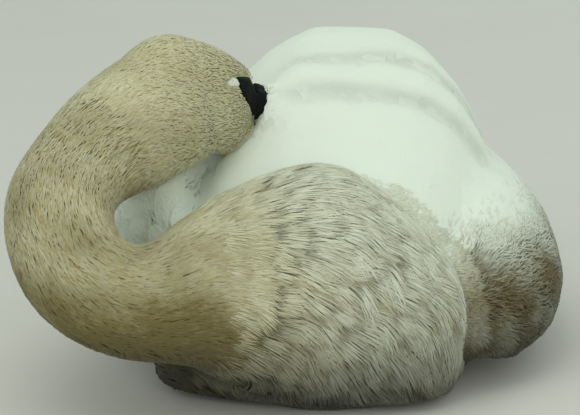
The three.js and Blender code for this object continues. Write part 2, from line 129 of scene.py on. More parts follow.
BILL_AXIS = unit((0.83, 0.5, -0.24))
HEAD_RIGHT = unit(np.cross(BILL_AXIS, (0.12, 0.05, 1.0)))
HEAD_UP = np.cross(HEAD_RIGHT, BILL_AXIS)


def in_head(points):
    """Places as forward of the feather edge, to the bird's right, and up."""
    away = np.asarray(points) - BILL_BASE
    return away @ BILL_AXIS, away @ HEAD_RIGHT, away @ HEAD_UP


def smooth(pairs):
    """A smooth function through (place, value) pairs, level past both ends."""
    places, values = np.array(pairs, float).T
    before, after = np.r_[0, : len(places) - 1], np.r_[1 : len(places), len(places) - 1]
    slopes = (values[after] - values[before]) / (places[after] - places[before])

    def curve(x):
        x = np.clip(x, places[0], places[-1])
        i = np.clip(np.searchsorted(places, x, side="right") - 1, 0, len(places) - 2)
        width = places[i + 1] - places[i]
        s = (x - places[i]) / width
        ease = s * s * (3 - 2 * s)
        lead = s * (1 - s) * width * ((1 - s) * slopes[i] - s * slopes[i + 1])
        return values[i] * (1 - ease) + values[i + 1] * ease + lead

    return curve


def ramp(x, low, high):
    """0 below low, 1 above high, and a soft step between."""
    s = np.clip((np.asarray(x, float) - low) / (high - low), 0, 1)
    return s * s * (3 - 2 * s)


def waves(points, size, seed):
    """A soft uneven pattern from -1 to 1 through space, with waves about this size."""
    rng = np.random.default_rng(seed)
    total = np.zeros(len(points))
    for _ in range(6):
        total += np.sin(points @ (unit(rng.normal(size=3)) * 2 * math.pi / size) + rng.uniform(0, 6))
    return total / 3


def neck_table():
    """Places along the middle of breast and neck, their shares of its length, and the way to the tail."""
    knots = np.array(NECK_LINE, float)
    reach = np.r_[0, np.cumsum(np.linalg.norm(np.diff(knots, axis=0), axis=1))]
    shares = np.linspace(0, 1, 161)
    line = np.stack([smooth(np.c_[reach / reach[-1], knots[:, k]])(shares) for k in range(3)], 1)
    return shares, line, -unit(np.gradient(line, axis=0))


NECK_SHARES, NECK_PLACES, NECK_WAYS = neck_table()


def along_neck(points):
    """The share of the neck line nearest each point, and the lie of its feathers there."""
    nearest = np.empty(len(points), int)
    for start in range(0, len(points), 8192):
        some = points[start : start + 8192]
        gaps = np.linalg.norm(some[:, None] - NECK_PLACES[None], axis=2)
        nearest[start : start + 8192] = gaps.argmin(1)
    return NECK_SHARES[nearest], NECK_WAYS[nearest]


def folds(points, before=0.0, front=8.0, behind=30.0):
    """How strongly a place lies on the back's two soft folds, or this far before them."""
    x, y, z = points.T
    height = np.zeros(len(points))
    for fold in FOLDS:
        past = y - fold - FOLD_SLANT * x + before
        height = np.maximum(height, np.exp(-((past / np.where(past < 0, front, behind)) ** 2)))
    return height * ramp(z, 150, 190) * ramp(x, -70, -20)


def under_head(points):
    """Which places lie in the hollow that neck, head and breast close in."""
    x, y, z = points.T
    return (x < -48) & (y < 12) & (z < 212)


# ------------------------------------------------------------------ the lie of the feathers

fan_fall = smooth([(0, 3.4), (40, 2.1), (80, 1.15), (120, 0.72), (160, 0.42), (210, 0.1)])


def lie_in_front(points, normals):
    """From the bill back over the head, down the neck, and fanning out over the breast."""
    share, way = along_neck(points)
    forward = in_head(points)[0]
    on_head = (ramp(forward, -150, -80) * ramp(share, 0.8, 0.95))[:, None]
    fan = np.stack([np.ones(len(points)), np.full(len(points), 0.25), -fan_fall(points[:, 2])], 1)
    on_neck = ramp(share, 0.3, 0.46)[:, None]
    lie = unit(fan) * (1 - on_neck) + way * on_neck
    lie = lie * (1 - on_head) - BILL_AXIS * on_head
    below = ramp(-normals[:, 2], 0.5, 0.8)[:, None]
    return lie * (1 - below) + np.array((0, 1, 0)) * below


def lie_on_body(points, _normals):
    """Towards the tail, falling a little on the flanks."""
    fall = 0.35 * ramp(np.abs(points[:, 0]), 70, 150) * ramp(-points[:, 2], -170, -60)
    return unit(np.stack([0.10 * np.sign(-points[:, 0]), np.ones(len(points)), -fall], 1))


def lie_off_breast(points, _normals):
    """Out from the edge of the breast, and falling a little."""
    spots, _, _ = forms["front"].nearest(points)
    return unit(points - spots) + np.array((0.2, 0.1, -0.25))


def on_surface(ways, normals):
    """Directions laid flat on the surface."""
    return unit(ways - normals * (ways * normals).sum(1, keepdims=True))


# ------------------------------------------------------------------ markings, shared by skin and plumage


def markings(points, in_front, near_breast):
    """How tan and how stained the plumage is at each place, with painted shade in the stain beside the
    breast and low on the neck, and how much painted shade it takes.
    """
    share, _ = along_neck(points)
    x, _, z = points.T
    tan_front = smooth([(0, 0.2), (0.2, 0.22), (0.34, 0.45), (0.46, 0.8), (0.86, 0.85), (1, 0.88)])
    tan = np.where(in_front, tan_front(share), 0.03)
    patches = waves(points, 60, 3)
    on_neck = ramp(share, 0.36, 0.5) * (1 - ramp(share, 0.78, 0.92))
    # Low on the neck: stain and painted shade, browner and darker towards the bottom.
    low_neck = ramp(share, 0.28, 0.44) * ramp(-z, -165, -60)
    stain_front = 0.13 + 0.9 * low_neck + 0.25 * on_neck + 0.12 * patches
    # Beside the breast: a band of stain and painted shade in the crease where the breast meets the wing.
    band = np.exp(-(((near_breast - 17) / 13) ** 2)) * ramp(x, 60, 95)
    edge = band * ramp(-z, -EDGE_STAIN_AND_SHADE_TOP, -EDGE_STAIN_AND_SHADE_FULL)
    flank = ramp(x, 95, 135) * ramp(-z, -FLANK_STAIN_TOP, -FLANK_STAIN_FULL) * (0.85 + 0.3 * patches)
    other = 0.55 * ramp(-x, 110, 150) * ramp(-z, -150, -60)
    belly = 0.5 * ramp(-z, -60, -10)
    stain_body = np.maximum.reduce([0.8 * edge, flank, other, belly])
    stain_and_shade = np.clip(np.where(in_front, stain_front, stain_body), 0, 1)
    # Painted shade just before each soft fold of the back.
    crease = 0.25 * folds(points, before=9.0, front=7.0, behind=9.0)
    # Painted shade, darker towards the ground, on breast and body alike.
    shade = np.where(in_front, 0.95 * ramp(-z, -130, -15), 0.95 * ramp(-z, -135, -20) + crease)
    return tan, stain_and_shade, shade


# ------------------------------------------------------------------ mesh helpers


def deselect():
    """Nothing selected, in object mode."""
    if bpy.context.object and bpy.context.object.mode != "OBJECT":
        bpy.ops.object.mode_set(mode="OBJECT")
    bpy.ops.object.select_all(action="DESELECT")


def only(obj):
    """Selects this object alone and makes it active."""
    deselect()
    obj.select_set(True)
    bpy.context.view_layer.objects.active = obj
    return obj


def with_modifier(obj, kind, **settings):
    """Adds a modifier with these settings and applies it."""
    only(obj)
    modifier = obj.modifiers.new(kind.title(), kind)
    for name, value in settings.items():
        setattr(modifier, name, value)
    bpy.ops.object.modifier_apply(modifier=modifier.name)
    return obj


def merged_copy(name, nodes, swell):
    """A copy of these CAD nodes, each closed and swollen a little, in one new object."""
    copies = []
    for node in nodes:
        copy = bpy.data.objects.new(f"{name}_{node}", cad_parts[node].data.copy())
        bpy.context.scene.collection.objects.link(copy)
        copy.data.materials.clear()
        only(copy)
        bpy.ops.object.mode_set(mode="EDIT")
        bpy.ops.mesh.select_all(action="SELECT")
        bpy.ops.mesh.remove_doubles(threshold=0.02 * MM)
        bpy.ops.object.mode_set(mode="OBJECT")
        if swell:
            with_modifier(copy, "DISPLACE", strength=swell * MM, mid_level=0.0)
        copies.append(copy)
    deselect()
    for copy in copies:
        copy.select_set(True)
    bpy.context.view_layer.objects.active = copies[0]
    if len(copies) > 1:
        bpy.ops.object.join()
    copies[0].name = copies[0].data.name = name
    return copies[0]


def joined(name, first, second):
    """Two objects joined into the first."""
    only(first)
    second.select_set(True)
    bpy.ops.object.join()
    first.name = first.data.name = name
    return first


def remeshed(obj, voxel, rounds):
    """One closed skin round the object, smoothed."""
    with_modifier(obj, "REMESH", mode="VOXEL", voxel_size=voxel * MM)
    if rounds:
        with_modifier(obj, "SMOOTH", factor=0.5, iterations=rounds)
    return obj


def read_points(mesh):
    """The mesh's points in millimetres."""
    flat = np.empty(len(mesh.vertices) * 3, np.float32)
    mesh.vertices.foreach_get("co", flat)
    return flat.reshape(-1, 3).astype(float) / MM


def write_points(mesh, points):
    """Moves the mesh's points to these places in millimetres."""
    mesh.vertices.foreach_set("co", (points * MM).astype(np.float32).ravel())
    mesh.update()


def read_normals(mesh):
    """The mesh's smooth normals, one for each point."""
    flat = np.empty(len(mesh.vertices) * 3, np.float32)
    mesh.vertex_normals.foreach_get("vector", flat)
    return flat.reshape(-1, 3).astype(float)


def read_triangles(mesh):
    """The mesh's triangles and the polygon that each lies in."""
    mesh.calc_loop_triangles()
    corners = np.empty(len(mesh.loop_triangles) * 3, np.int32)
    mesh.loop_triangles.foreach_get("vertices", corners)
    owners = np.empty(len(mesh.loop_triangles), np.int32)
    mesh.loop_triangles.foreach_get("polygon_index", owners)
    return corners.reshape(-1, 3), owners


def smooth_shaded(obj):
    """Shades every face smooth."""
    obj.data.polygons.foreach_set("use_smooth", np.ones(len(obj.data.polygons), bool))
    obj.data.update()
    return obj


def add_attribute(mesh, name, values):
    """A named number on each point, for the materials to read."""
    attribute = mesh.attributes.new(name, "FLOAT", "POINT")
    attribute.data.foreach_set("value", np.asarray(values, np.float32))


class Form:
    """A smooth closed surface that feathers lie on, in millimetres."""

    def __init__(self, obj):
        self.points = read_points(obj.data)
        self.normals = read_normals(obj.data)
        self.triangles, _ = read_triangles(obj.data)
        self.tree = BVHTree.FromPolygons(self.points.tolist(), self.triangles.tolist())

    def nearest(self, places):
        """The nearest point of the surface to each place, its normal and its distance outwards."""
        found = [self.tree.find_nearest(place) for place in places.tolist()]
        spots = np.array([tuple(hit[0]) for hit in found])
        corners = self.triangles[[hit[2] for hit in found]]
        a, b, c = (self.points[corners[:, k]] for k in range(3))
        area = np.cross(b - a, c - a)
        whole = np.maximum((area * area).sum(1), 1e-12)
        share_b = (np.cross(spots - a, c - a) * area).sum(1) / whole
        share_c = (np.cross(b - a, spots - a) * area).sum(1) / whole
        shares = np.clip(np.stack([1 - share_b - share_c, share_b, share_c], 1), 0, 1)
        normals = unit((self.normals[corners] * shares[:, :, None]).sum(1))
        away = places - spots
        return spots, normals, np.sign((away * normals).sum(1)) * np.linalg.norm(away, axis=1)

    def scatter(self, spacing, seed):
        """Places on the surface about this far apart, with their normals."""
        rng = np.random.default_rng(seed)
        a, b, c = (self.points[self.triangles[:, k]] for k in range(3))
        areas = np.linalg.norm(np.cross(b - a, c - a), axis=1) / 2
        count = int(areas.sum() / spacing**2 * 4)
        pick = rng.choice(len(areas), count, p=areas / areas.sum())
        r, s = rng.random((2, count))
        r = np.sqrt(r)
        shares = np.stack([1 - r, r * (1 - s), r * s], 1)[:, :, None]
        spots = (self.points[self.triangles[pick]] * shares).sum(1)
        normals = unit((self.normals[self.triangles[pick]] * shares).sum(1))
        cells = np.floor(spots / (spacing * 1.22)).astype(np.int64)
        keys = cells[:, 0] * 4_000_037 + cells[:, 1] * 2_003 + cells[:, 2]
        _, first = np.unique(keys, return_index=True)
        return spots[first], normals[first]

    def spread(self, spacing, seed, within=None):
        """Evenly spread places, none nearer to another than this, where within() allows them."""
        spots, normals = self.scatter(spacing / 4, seed)
        if within:
            chosen = within(spots)
            spots, normals = spots[chosen], normals[chosen]
        kept = []
        taken = np.full(spots.shape, 1e9)
        for index in np.random.default_rng(seed).permutation(len(spots)):
            gaps = taken[: len(kept) + 1] - spots[index]
            if (gaps * gaps).sum(1).min() > spacing**2:
                taken[len(kept)] = spots[index]
                kept.append(index)
        return spots[kept], normals[kept]


forms = {}  # the surfaces that the operators share: front, body and skin


# ------------------------------------------------------------------ materials


def paint(red, green, blue):
    """A colour as seen, 0 to 255, in the linear numbers that materials use."""
    shares = [value / 255 for value in (red, green, blue)]
    return tuple(s / 12.92 if s <= 0.04045 else ((s + 0.055) / 1.055) ** 2.4 for s in shares) + (1.0,)


class Wire:
    """A socket of a material, with arithmetic that adds the nodes it needs."""

    def __init__(self, finish, socket):
        self.finish = finish
        self.socket = socket

    def maths(self, operation, *values, clamp=False):
        """A Math node on these values."""
        settings = {"operation": operation, "use_clamp": clamp}
        return self.finish.node("ShaderNodeMath", settings, dict(enumerate(values)))

    def __add__(self, other):
        return self.maths("ADD", self, other)

    def __sub__(self, other):
        return self.maths("SUBTRACT", self, other)

    def __rsub__(self, other):
        return self.maths("SUBTRACT", other, self)

    def __mul__(self, other):
        return self.maths("MULTIPLY", self, other)

    __radd__ = __add__
    __rmul__ = __mul__

    def sin(self):
        return self.maths("SINE", self)

    def clamped(self):
        return self.maths("ADD", self, 0.0, clamp=True)


class Finish:
    """A material with one Principled surface, built node by node."""

    def __init__(self, name, **constants):
        self.material = bpy.data.materials.new(name)
        self.material.use_nodes = True
        self.tree = self.material.node_tree
        self.tree.nodes.clear()
        self.surface = self.tree.nodes.new("ShaderNodeBsdfPrincipled")
        output = self.tree.nodes.new("ShaderNodeOutputMaterial")
        self.tree.links.new(self.surface.outputs[0], output.inputs["Surface"])
        for socket, value in constants.items():
            self.surface.inputs[socket.replace("_", " ")].default_value = value

    def node(self, kind, settings=None, inputs=None, output=0):
        """Adds a node, sets it, feeds its sockets, and gives the output asked for."""
        node = self.tree.nodes.new(kind)
        for name, value in (settings or {}).items():
            setattr(node, name, value)
        for name, value in (inputs or {}).items():
            if isinstance(value, Wire):
                self.tree.links.new(value.socket, node.inputs[name])
            else:
                node.inputs[name].default_value = value
        return Wire(self, node.outputs[output])

    def feed(self, name, wire):
        """Joins a wire to a socket of the surface."""
        self.tree.links.new(wire.socket, self.surface.inputs[name])

    def mix(self, factor, first, second, blend="MIX"):
        """Two colours mixed."""
        settings = {"data_type": "RGBA", "blend_type": blend, "clamp_factor": True}
        return self.node("ShaderNodeMix", settings, {0: factor, 6: first, 7: second}, output=2)

    def attribute(self, name):
        """A number from the mesh's points."""
        return self.node("ShaderNodeAttribute", {"attribute_name": name}, output="Fac")

    def place(self, stretch=(1, 1, 1)):
        """The object's own coordinates, stretched."""
        spot = self.node("ShaderNodeTexCoord", output="Object")
        return self.node("ShaderNodeMapping", inputs={"Vector": spot, "Scale": stretch})

    def noise(self, vector, scale, detail=3.0, roughness=0.55):
        """Even noise from 0 to 1."""
        inputs = {"Vector": vector, "Scale": scale, "Detail": detail, "Roughness": roughness}
        return self.node("ShaderNodeTexNoise", inputs=inputs, output="Fac")

    def bump(self, height, strength, distance):
        """Raises the surface's normal by a height in millimetres times distance."""
        inputs = {"Height": height, "Strength": strength, "Distance": distance * MM}
        self.feed("Normal", self.node("ShaderNodeBump", inputs=inputs, output="Normal"))


def plumage_finish(name, colours, streaks=1.0, root_shadow=0.6, tips=0.0, barbs=0.0, rims=0.0):
    """Plumage: white to tan by the markings, streaked feather by feather, stained, and darkened by painted
    shade at the roots, low down, before the back's folds and on quill rims.
    """
    finish = Finish(name, Roughness=0.72, Sheen_Weight=0.12, Sheen_Roughness=0.5)
    tan, stain_and_shade, shade = (finish.attribute(key) for key in ("tan", "stain_and_shade", "shade"))
    along, tone = finish.attribute("along"), finish.attribute("tone")
    cloud = finish.noise(finish.place(), 38.0)
    fine = finish.noise(finish.place(), 260.0, detail=2.0)
    colour = finish.mix(tan, colours.white, colours.tan)
    colour = finish.mix((tone - 0.4) * streaks * (tan + 0.2), colour, colours.cream)
    streak = (0.45 - tone).clamped() * streaks
    colour = finish.mix(streak * (tan * 1.1 + stain_and_shade * 0.6), colour, colours.brown)
    soil = (stain_and_shade * (0.6 + cloud * 1.1) * (0.75 + tone * 0.4) + stain_and_shade * (fine - 0.5) * 0.5).clamped()
    colour = finish.mix(soil, colour, colours.stain_and_shade)
    if tips:
        hairs = ((along - 0.55) * 2.2).clamped() * (1.15 - tone) * tips
        colour = finish.mix(hairs * (0.2 + stain_and_shade * 1.2), colour, colours.brown)
    # Painted shade at the roots, in the gaps between feathers, stronger where they are tan or stained.
    root = (1.0 - along * 1.7).clamped() * root_shadow
    colour = finish.mix(root * (tan * 0.7 + stain_and_shade * 0.9 + 0.06), colour, colours.deep)
    # The markings' painted shade, multiplied over the colour.
    colour = finish.mix(shade * (0.75 + cloud * 0.4), colour, colours.shade, "MULTIPLY")
    if barbs:
        across, reach = finish.attribute("across"), finish.attribute("length")
        lines = (along * reach * 4.2 + across * across * 9.0).sin() * 0.5 + fine
        finish.bump(lines, barbs, 0.35)
        # Painted shade along each quill's rims and tip.
        if rims:
            edge = ((across * across - 0.4) * 1.6).clamped() + ((along - 0.9) * 10.0).clamped()
            colour = finish.mix((edge * rims).clamped(), colour, colours.shade, "MULTIPLY")
    else:
        finish.bump(fine, 0.2, 0.4)
    finish.feed("Base Color", colour)
    return finish.material


# ------------------------------------------------------------------ feathers


class Pattern:
    """One feather modelled along +Y, 1 long and 2 wide, that all of its kind are copied from."""

    def __init__(self, sides, stations):
        deselect()
        bpy.ops.mesh.primitive_circle_add(
            vertices=sides, radius=1, fill_type="NGON", rotation=(math.pi / 2, 0, 0)
        )
        obj = bpy.context.object
        bpy.ops.object.transform_apply(rotation=True)
        bpy.ops.object.mode_set(mode="EDIT")
        bpy.ops.mesh.select_all(action="SELECT")
        last_place, last_width = 0.0, 1.0
        for number, (place, width) in enumerate(stations):
            if number:
                move = {"value": (0, place - last_place, 0)}
                bpy.ops.mesh.extrude_region_move(TRANSFORM_OT_translate=move)
            scale = max(width, 0.01) / last_width
            bpy.ops.transform.resize(value=(scale, 1, scale), center_override=(0, place, 0))
            last_place, last_width = place, max(width, 0.01)
        bpy.ops.mesh.merge(type="CENTER")
        bpy.ops.mesh.select_all(action="SELECT")
        bpy.ops.mesh.normals_make_consistent(inside=False)
        bpy.ops.object.mode_set(mode="OBJECT")
        points = np.array([v.co for v in obj.data.vertices], float)
        self.stations = np.array([place for place, _ in stations])
        self.across, self.lift = points[:, 0], points[:, 2]
        self.station = np.abs(points[:, 1:2] - self.stations[None]).argmin(1)
        self.along = self.stations[self.station]
        faces = [tuple(p.vertices) for p in obj.data.polygons]
        self.sizes = np.array([len(face) for face in faces], np.int32)
        self.corners = np.array([corner for face in faces for corner in face], np.int32)
        self.triangles = int((self.sizes - 2).sum())
        tip = self.along > 0.999
        widest = np.array([np.abs(self.across[self.station == k]).max() for k in self.station])
        self.rim = (np.abs(self.across) > 0.9 * widest) | tip
        if sides == 3:
            self.lift = self.lift - np.array([self.lift[self.station == k].min() for k in self.station])
        bpy.data.objects.remove(obj)


def lay(form, roots, stations, lengths, way, heights, turns=0.0, curls=0.0):
    """Middle lines of feathers that start at the roots and follow the form along the lie."""
    spots, normals, _ = form.nearest(roots)
    turns = np.zeros(len(roots)) + turns
    curls = np.zeros(len(roots)) + curls
    middles, ups, steps = [], [], []
    for number, place in enumerate(stations):
        if number:
            stride = (lengths * (place - stations[number - 1]))[:, None]
            spots, normals, _ = form.nearest(spots + steps[-1] * stride)
        ahead = on_surface(way(spots, normals), normals)
        aside = np.cross(ahead, normals)
        angle = (turns + curls * place)[:, None]
        ahead = ahead * np.cos(angle) + aside * np.sin(angle)
        middles.append(spots + normals * heights[number][:, None])
        ups.append(normals)
        steps.append(ahead)
    middles = np.stack(middles, 1)
    return middles, np.stack(ups, 1), unit(np.gradient(middles, axis=1))


def copies_of(pattern, middles, ups, steps, widths, depths, rolls=None, form=None):
    """The points of every copy of the pattern, bent along its own middle line."""
    sides = np.cross(steps, ups)
    ups = np.cross(sides, steps)
    if rolls is not None:
        roll = rolls[:, None, None]
        sides, ups = sides * np.cos(roll) + ups * np.sin(roll), ups * np.cos(roll) - sides * np.sin(roll)
    at = pattern.station
    across = pattern.across[None, :, None] * widths[:, None, None]
    lift = pattern.lift[None, :, None] * depths[:, None, None]
    if form is None:
        return middles[:, at] + sides[:, at] * across + ups[:, at] * lift
    flat = middles[:, at] + sides[:, at] * across
    spots, normals, _ = form.nearest(flat.reshape(-1, 3))
    under = form.nearest(middles.reshape(-1, 3))[0].reshape(middles.shape)
    height = ((middles - under) * ups).sum(2)[:, at, None]
    return spots.reshape(flat.shape) + normals.reshape(flat.shape) * (height + lift)


def feather_piece(name, pattern, points, notes, roots, material, replaces=()):
    """Joined copies of one pattern, in as many pieces as their number of triangles needs."""
    points[:, :, 2] = np.maximum(points[:, :, 2], FLOOR)
    most = PIECE_LIMIT // pattern.triangles
    parts = max(1, math.ceil(len(points) / most))
    for part, chosen in enumerate(np.array_split(np.arange(len(points)), parts)):
        title = name if parts == 1 else f"{name}_{part + 1}"
        count, size = len(chosen), points.shape[1]
        mesh = bpy.data.meshes.new(title)
        mesh.vertices.add(count * size)
        write_points(mesh, points[chosen].reshape(-1, 3))
        loops = (pattern.corners[None] + (np.arange(count) * size)[:, None]).ravel()
        mesh.loops.add(len(loops))
        mesh.loops.foreach_set("vertex_index", loops.astype(np.int32))
        sizes = np.tile(pattern.sizes, count)
        mesh.polygons.add(len(sizes))
        mesh.polygons.foreach_set("loop_start", (np.cumsum(sizes) - sizes).astype(np.int32))
        mesh.polygons.foreach_set("use_smooth", np.ones(len(sizes), bool))
        mesh.update(calc_edges=True)
        ends = np.empty(len(mesh.edges) * 2, np.int32)
        mesh.edges.foreach_get("vertices", ends)
        rims = np.tile(pattern.rim, count)[ends.reshape(-1, 2)].all(1)
        sharp = mesh.attributes.new("sharp_edge", "BOOLEAN", "EDGE")
        sharp.data.foreach_set("value", rims)
        for key, values in notes.items():
            values = np.broadcast_to(values.reshape(len(points), -1), (len(points), size))
            add_attribute(mesh, key, values[chosen].ravel())
        add_attribute(mesh, "along", np.tile(pattern.along, count))
        add_attribute(mesh, "across", np.tile(pattern.across, count))
        patch = np.stack([pattern.across / 2, pattern.along - 0.5], 1) * PATCH
        flat = (skin_unwrap(roots[chosen])[:, None] + patch[None]).reshape(-1, 2)
        unwrap = mesh.uv_layers.new(name="OFBake")
        unwrap.data.foreach_set("uv", np.clip(flat[loops], 0, 1).astype(np.float32).ravel())
        mesh.materials.append(material)
        obj = bpy.data.objects.new(title, mesh)
        bpy.context.scene.collection.objects.link(obj)
        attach(obj, "root")
        if replaces and part == 0:
            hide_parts(*replaces)


def skin_unwrap(places):
    """Where each place lies on the unwrap of the skin."""
    skin = forms["skin"]
    faces = [skin["tree"].find_nearest(place)[2] for place in places.tolist()]
    return skin["unwrap"][faces]


def noted(points, in_front, tones, lengths):
    """The markings and numbers that every feather carries."""
    near = forms["front"].nearest(points)[2] if not in_front else np.zeros(len(points))
    tan, stain_and_shade, shade = markings(points, in_front, near)
    return {"tan": tan, "stain_and_shade": stain_and_shade, "shade": shade, "tone": tones, "length": lengths}


def blade_lay(form, roots, way, lengths, rng, pattern, deep, lift, turn, curls):
    """Middle lines for small tufts: rooted deep in the coat, with the tip lifted over the next ones."""
    rise = smooth([(0, 0), (0.45, 0.82), (1, 1)])
    lift = lift * rng.uniform(0.5, 1.4, len(roots))
    heights = [(-deep + (deep + lift) * rise(place)) * np.ones(len(roots)) for place in pattern.stations]
    turns = rng.normal(0, turn, len(roots))
    return lay(form, roots, pattern.stations, lengths, way, heights, turns, curls)


def inside_outline(across, up, outline):
    """Which places lie within a closed outline."""
    inside = np.zeros(len(across), bool)
    for (x0, y0), (x1, y1) in zip(outline, outline[1:] + outline[:1]):
        crosses = (y0 > up) != (y1 > up)
        if y0 != y1:
            inside ^= crosses & (across < x0 + (up - y0) * (x1 - x0) / (y1 - y0))
    return inside


def bare_skin(points):
    """Which places on the head are bare: before the eye, at the bill, and on the lid."""
    forward, right, up = in_head(points)
    lores = inside_outline(forward, up, LORE_OUTLINE) & (np.abs(right) > 9)
    off_eye = np.hypot((forward - LID_FORWARD) / LID_HALF_LENGTH, (up - LID_UP) / LID_HALF_HEIGHT)
    return lores | ((off_eye < 0.66) & (np.abs(right) > 9)) | (forward > 6 - 0.35 * np.maximum(up + 10, 0))


# ------------------------------------------------------------------ what a user would change


def length_property(name, description, default):
    """A length property, stated here in millimetres."""
    return bpy.props.FloatProperty(
        name=name, description=description, default=default * MM, min=0, precision=4, unit="LENGTH"
    )


def colour_property(name, description, *seen):
    """A colour property, stated here as seen, 0 to 255."""
    return bpy.props.FloatVectorProperty(
        name=name, description=description, default=paint(*seen), size=4, min=0, max=1, subtype="COLOR"
    )


class SwanMeasures(bpy.types.PropertyGroup):
    head_coat: length_property("Head coat", "Depth of the plumage on the head", 1.5)
    neck_coat: length_property("Neck coat", "Depth of the plumage on the neck", 2.2)
    body_coat: length_property("Body coat", "Depth of the plumage on breast and body", 4.5)
    head_feather: length_property("Head feather", "Length of a feather on the cheek", 8)
    neck_feather: length_property("Neck feather", "Length of a feather on the neck", 17)
    breast_feather: length_property("Breast feather", "Length of a feather on the breast", 40)
    back_feather: length_property("Back feather", "Length of a feather on the back", 56)
    flank_feather: length_property("Flank feather", "Length of a curled tuft on the flank", 13)
    belly_feather: length_property("Belly feather", "Length of a soft belly feather", 26)
    bill_cover: length_property("Bill cover", "How thickly the back feathers lie over the bill", 8)


class SwanColours(bpy.types.PropertyGroup):
    white: colour_property("White", "Clean plumage", 224, 233, 222)
    cream: colour_property("Cream", "Lit tips of the tan feathers", 218, 217, 190)
    tan: colour_property("Tan", "Stained plumage of head and neck", 186, 180, 134)
    brown: colour_property("Brown", "Streaks between the feathers", 160, 142, 92)
    # Stain: mud and iron stain, also used for the painted shade beside the breast, low on the neck and
    # between the breast feathers.
    stain_and_shade: colour_property("Stain", "Mud and iron stain on flank and belly", 116, 104, 56)
    # Deep: painted shade at the roots of the feathers, between them.
    deep: colour_property("Deep", "Roots of the stained feathers", 110, 94, 58)
    # Shade: painted shade near the ground and just before the back's folds, multiplied over the plumage.
    shade: colour_property("Shade", "Dull plumage close to the ground", 46, 43, 20)
    skin_black: colour_property("Black skin", "Bare skin before the eye and the bill's base", 10, 13, 13)
    bill_orange: colour_property("Bill", "Horn of the upper bill", 214, 104, 42)
    lid: colour_property("Lid", "The closed eyelid", 214, 222, 210)
    leg: colour_property("Leg", "Scaly skin of legs and feet", 40, 42, 44)
    floor: colour_property("Floor", "The studio floor", 214, 212, 206)


# ------------------------------------------------------------------ operators


class SWAN_OT_skin(bpy.types.Operator):
    """Draws one skin over the solids of flesh, inside them by the depth of the plumage"""

    bl_idname = "swan.skin"
    bl_label = "Skin"

    def execute(self, context):
        sizes = context.scene.swan_measures
        front = merged_copy("front_form", ("breast",) + NECK_NODES + HEAD_NODES, 0.7)
        remeshed(front, 3.0, 36)
        body = merged_copy("body_form", BODY_NODES + ("breast",), 0.4)
        cover = merged_copy("bill_cover", ("bill_upper",), sizes.bill_cover / MM)
        remeshed(joined("body_form", body, cover), 3.5, 30)
        swell = FOLD_HEIGHT * folds(read_points(body.data))[:, None]
        write_points(body.data, read_points(body.data) + read_normals(body.data) * swell)
        for name, obj in (("front", front), ("body", body)):
            forms[name] = Form(obj)
        share, _ = along_neck(forms["front"].points)
        depths = smooth([
            (0, sizes.body_coat / MM), (0.4, sizes.body_coat / MM),
            (0.55, sizes.neck_coat / MM), (0.85, sizes.neck_coat / MM), (1, sizes.head_coat / MM),
        ])(share)
        write_points(front.data, forms["front"].points - forms["front"].normals * depths[:, None])
        inward = forms["body"].normals * sizes.body_coat / MM
        write_points(body.data, forms["body"].points - inward)
        skin = remeshed(joined("skin", front, body), 4.5, 6)
        only(skin)
        bpy.ops.object.mode_set(mode="EDIT")
        bpy.ops.mesh.select_all(action="SELECT")
        bpy.ops.uv.smart_project(angle_limit=math.radians(66), island_margin=0.002)
        bpy.ops.object.mode_set(mode="OBJECT")
        mesh = smooth_shaded(skin).data
        mesh.uv_layers[0].name = "OFBake"
        points = read_points(mesh)
        triangles, owners = read_triangles(mesh)
        flat = np.empty(len(mesh.loops) * 2, np.float32)
        mesh.uv_layers[0].data.foreach_get("uv", flat)
        starts = np.empty(len(mesh.polygons), np.int32)
        mesh.polygons.foreach_get("loop_start", starts)
        first_corner = flat.reshape(-1, 2)[starts]
        forms["skin"] = {
            "tree": BVHTree.FromPolygons(points.tolist(), triangles.tolist()),
            "unwrap": first_corner[owners],
        }
        near_front = forms["front"].nearest(points)[2]
        near_body = forms["body"].nearest(points)[2]
        in_front = np.abs(near_front) < np.abs(near_body) + 3
        tan, stain_and_shade, shade = markings(points, in_front, near_front)
        # The skin carries the painted root shade of a feather's base (along 0.3).
        notes = {"tan": tan, "stain_and_shade": stain_and_shade, "shade": shade, "along": 0 * tan + 0.3}
        notes["tone"] = 0.45 + 0.2 * waves(points, 9, 11)
        for key, values in notes.items():
            add_attribute(mesh, key, values)
        mesh.materials.append(plumage_finish("down", context.scene.swan_colours, root_shadow=0.3))
        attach(skin, "root")
        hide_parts(*FLESH_NODES)
        return {"FINISHED"}


def finished_copy(name, nodes, voxel, rounds, material, shape=None, crease=None):
    """A fine smooth copy of hard or bare CAD nodes, shaped by a function of its points and normals."""
    obj = remeshed(merged_copy(name, nodes, 0.3 if len(nodes) > 1 else 0.0), voxel, rounds)
    if crease:
        group = obj.vertex_groups.new(name="crease")
        group.add(np.flatnonzero(crease(read_points(obj.data))).tolist(), 1.0, "REPLACE")
        with_modifier(obj, "SMOOTH", factor=0.5, iterations=40, vertex_group="crease")
    if shape:
        write_points(obj.data, shape(read_points(obj.data), read_normals(obj.data)))
    smooth_shaded(obj)
    obj.data.materials.append(material)
    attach(obj, "root")
    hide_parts(*nodes)
    return obj


